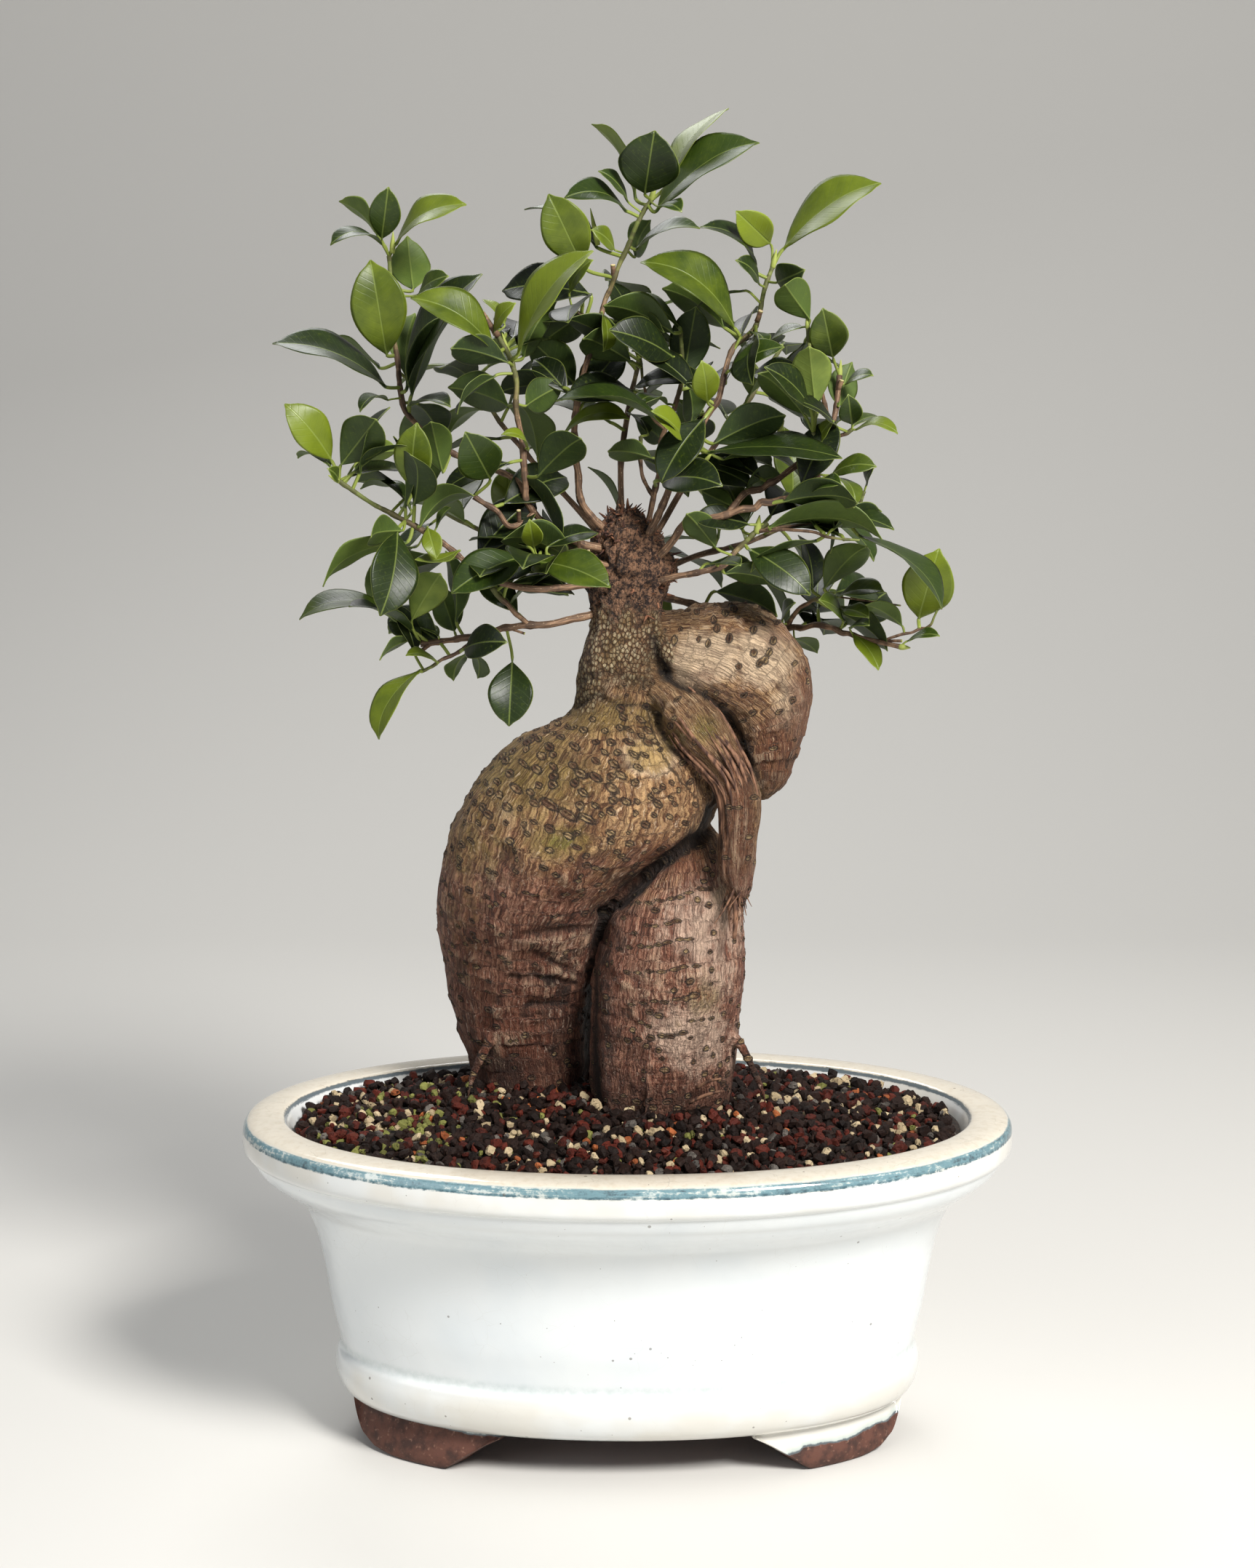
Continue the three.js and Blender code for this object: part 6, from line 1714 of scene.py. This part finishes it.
# One stem: its leaves as one piece, its twigs, buds and stubs as another
def makeStem(name, lines, ends, leaves, random):
    node = "stem_" + "".join("_" + c.lower() if c.isupper() else c for c in name)
    rings, values = leafSet(*leaves, random)
    mesh = makeMesh(name + "Leaves", *skin(rings))
    for key, value in values.items():
        mark(mesh, key, loftMarks(value * np.ones(rings.shape)))
    place(mesh, [node], leafMaterial)
    sets, spots, owns = [], [], []

    def add(rings, spot, own):
        sets.append(skin(rings))
        spots.append(loftMarks(spot * np.ones(rings.shape)))
        owns.append(loftMarks(own * np.ones(rings.shape)))

    for number, (line, radii) in enumerate(zip(lines, ends)):
        add(*twigRings(line, radii, leaves[0], random, 14 if number == 0 else 10))
    for row in buds.get(name, []):
        first, last, radius = seen(*row[:3]), seen(*row[3:6]), row[6]
        share = np.linspace(0, 1, 9)
        profile = radius * np.interp(share, [0, 0.15, 0.4, 0.75, 1], [0.8, 1.0, 0.95, 0.5, 0.12])
        add(stemRings(first + (last - first) * share[:, None], profile, 10), (0.0, 0.0, 0.0), (2.0, 0.0, 0.5))
    for row in stubs.get(name, []):
        first, last, radius = seen(*row[:3]), seen(*row[3:6]), row[6]
        share = np.array([0, 0.3, 0.65, 0.93, 0.99, 1])
        line = nearestOnPaths(lines, first[None])[0] + (last - first) * share[:, None]
        cut = together(np.where(share > 0.95, 3.0, 0.0), 0, 0)
        rings = stemRings(line, radius * np.array([1.1, 1, 0.97, 1.05, 0.98, 0.75]), 10)
        add(rings, line[:, None], cut[:, None])
    mesh = makeMesh(name + "Twigs", *joinSets(sets))
    mark(mesh, "twigSpot", np.concatenate(spots))
    mark(mesh, "own", np.concatenate(owns))
    place(mesh, [node], twigMaterial)


# Leaves inside the crown, painted dark as shade, on the twigs of a front stem: none where the photo shows
# open places
def innerLeaves(lines, count, random):
    fine = [smoothRows(line, 8) for line in lines]
    spots = np.concatenate([line[len(line) // 3:] for line in fine])
    start = spots[random.integers(0, len(spots), count * 4)]
    ways = unit(random.normal(size=start.shape) * (0.9, 0.9, 0.5) + (0, 0.45, 0.25))
    base = start + ways * random.uniform(5, 9, (len(start), 1))
    length = random.uniform(20, 35, len(start))
    ahead = unit(ways + random.normal(size=start.shape) * 0.3 - (0, 0, 0.2))
    tip = base + ahead * length[:, None]
    x, z = whereSeen((base + tip) / 2)
    low, high, wide, front = leafShape["innerRange"]
    keep = (z > low) & (z < high) & (np.abs(x) < wide) & (base[:, 1] > front)
    for left, right, low, high in leafShape["open"]:
        keep &= ~((x > left) & (x < right) & (z > low) & (z < high))
    start, base, tip, ahead, length = (part[keep][:count] for part in (start, base, tip, ahead, length))
    level = unit(np.cross((0, 0, 1.0), ahead))
    roll = random.uniform(-0.9, 0.9, (len(base), 1))
    face = unit(np.cross(ahead, level) * np.cos(roll) + level * np.sin(roll))
    # a low tone: painted shade inside the crown
    tone = random.uniform(0.0, 0.3, len(base))
    return start, base, tip, face, leafShape["ratio"] * length, np.full(len(base), 0.08), tone


def makeFrontStem(name, spray, random):
    lines = [seen(*np.array(points, float).T) for _, points in spray["paths"]]
    rows = np.array([(row + (leafShape["arch"],))[:9] for row in spray["leaves"]], float)
    base, tip = seen(*rows.T[:3]), seen(*rows.T[3:6])
    wide, tone, arch = rows.T[6:]
    length = np.linalg.norm(tip - base, axis=1)
    width = np.maximum(leafShape["ratio"] * length, np.abs(wide))
    face = upperFaces(base, unit(tip - base), np.abs(wide) / width, np.sign(wide))
    leaves = (nearestOnPaths(lines, base), base, tip, face, width, arch, tone)
    more = innerLeaves(lines, leafShape["inner"], random)
    leaves = [np.concatenate(pair) for pair in zip(leaves, more)]
    makeStem(name, lines, [ends for ends, _ in spray["paths"]], leaves, random)


# The direction of the smooth curve through a line's points, at a share of the way along
def curveWay(line, share):
    fine = smoothRows(line, 40)
    at = min(int(round(share * (len(fine) - 1))), len(fine) - 2)
    return unit(fine[at + 1] - fine[at])


def makeBackStem(name, spray, random):
    line = np.array(spray["points"], float)
    draws = randomFrom(spray["seed"])
    rows = []
    level = np.array([0, 0, 1.0])
    for i in range(spray["count"]):
        share = 0.42 + 0.58 * (i + 1) / spray["count"]
        spot = share * (len(line) - 1)
        k = min(int(spot), len(line) - 2)
        start = line[k] + (line[k + 1] - line[k]) * (spot - k)
        along = curveWay(line, min(share, 1))
        turn = i * goldenAngle + spray["seed"]
        side = unit(np.cross(level, along))
        out = side * math.cos(turn) + np.cross(along, side) * math.sin(turn)
        heading = unit(along * 0.45 + out)
        stalk, length = 5 + 4 * next(draws), 23 + 15 * next(draws)
        base = start + heading * stalk
        heading = unit(heading - (0, 0, 0.25))
        roll = (next(draws) - 0.5) * 0.9
        flat = unit(np.cross(level, heading))
        face = np.cross(heading, flat) * math.cos(roll) + flat * math.sin(roll)
        tip, width = base + heading * length, leafShape["ratio"] * length
        rows.append((start, base, tip, face, width, leafShape["arch"]))
    tone = random.uniform(0.2, 0.75, len(rows))
    makeStem(name, [line], [leafShape["backRadii"]], [np.array(part) for part in zip(*rows)] + [tone], random)


leafLook = {
    "dark": "111a08", "middle": "2a3a0f", "bright": "6d7b1c", "underDark": "263514", "underMiddle": "4d6024",
    "underBright": "8e9c45", "rib": "86954a", "rim": "9aa653", "stalk": "7f8b3e", "vein": "64783a",
}


def makeLeafMaterial():
    look = colours(leafLook)
    bench = newMaterial("leaf", IOR=1.4)
    mix, rise = bench.mix, bench.rise
    where = bench.millimetres()
    u, t, side = bench.marks("ownSpot")
    tone, blade, _ = bench.marks("own")
    half, length, _ = bench.marks("size")
    cloud, grain = bench.noise(where, 0.11, 3.0, 0.55), bench.noise(where, 0.8, 3.0, 0.6)
    # the tone: the leaf's own green, with painted shade on dark leaves and painted back-lit glow on bright
    # ones
    stirred = tone + (cloud - 0.5) * 0.35
    low, high = rise(stirred, 0.1, 0.55), rise(stirred, 0.5, 0.95)
    upper = mix(high, mix(low, look.dark, look.middle), look.bright)
    under = mix(high, mix(low, look.underDark, look.underMiddle), look.underBright)
    isUpper = rise(side, -0.3, 0.3)
    tint = mix(isUpper, under, upper)
    # side veins leave the midrib at a slant and run nearly straight to the rim
    out = bench.math("ABSOLUTE", u)
    across = out * half
    bent = t * length - across * 0.75 + (cloud - 0.5) * 1.6
    vein = rise(bench.math("PINGPONG", bent, 1.5), 0.3, 0.05) * rise(out, 0.97, 0.85)
    tint = mix(vein * 0.05, tint, look.vein)
    rib = rise(across, 0.42, 0.18)
    tint = mix(rib * 0.38, tint, look.rib)
    # a pale margin: painted glow of light through the thin edge
    rim = rise(half - across, 0.4, 0.12) * rise(t, 0.02, 0.1)
    tint = mix(rim * 0.45, tint, look.rim)
    tint = mix(rise(grain, 0.55, 0.75) * 0.18, tint, look.bright)
    tint = mix(rise(blade, 0.9, 0.1), tint, look.stalk)
    height = (vein * -0.1 + rib * -0.5) * rise(isUpper, 0.0, 1.0, -1.0, 1.0) + cloud * 0.5 + grain * 0.12
    return bench.finish(height, 0.5, 0.5, Base_Color=tint, Roughness=rise(isUpper, 0.0, 1.0, 0.55, 0.38))


twigLook = {
    "old": "927257", "oldDark": "4a3525", "young": "6c7538", "bud": "9aa44f", "dot": "b59d7e",
    "scar": "2f2018", "cut": "c4ae8a",
}


def makeTwigMaterial():
    look = colours(twigLook)
    bench = newMaterial("twig", Roughness=0.7)
    mix, rise = bench.mix, bench.rise
    spot = bench.mark("twigSpot")
    young, swell, _ = bench.marks("own")
    streak = bench.noise(bench.stretch(spot, 0.6, 0.6, 0.12), 1.0, 4.0, 0.6)
    dots = bench.use(specks, Vector=bench.stretch(spot, 1, 1, 0.8), Scale=0.75, Size=0.22, Share=0.5)
    tint = mix(rise(streak, 0.35, 0.65), look.oldDark, look.old)
    tint = mix(rise(young, 0.05, 0.9), tint, look.young)
    tint = mix(dots * 0.7, tint, look.dot)
    tint = mix(rise(swell, 0.06, 0.12) * 0.5, tint, look.scar)
    tint = mix(rise(young, 1.2, 1.8), tint, look.bud)
    tint = mix(rise(young, 2.4, 2.9), tint, look.cut)
    return bench.finish(streak + dots * 0.5, 0.6, 0.4, Base_Color=tint)


leafMaterial = makeLeafMaterial()
twigMaterial = makeTwigMaterial()
growth = np.random.default_rng(leafShape["seed"])
for stemName, stemSpray in sprays.items():
    makeFrontStem(stemName, stemSpray, growth)
for stemName, stemSpray in backSprays.items():
    makeBackStem(stemName, stemSpray, growth)
print("stems and leaves made")
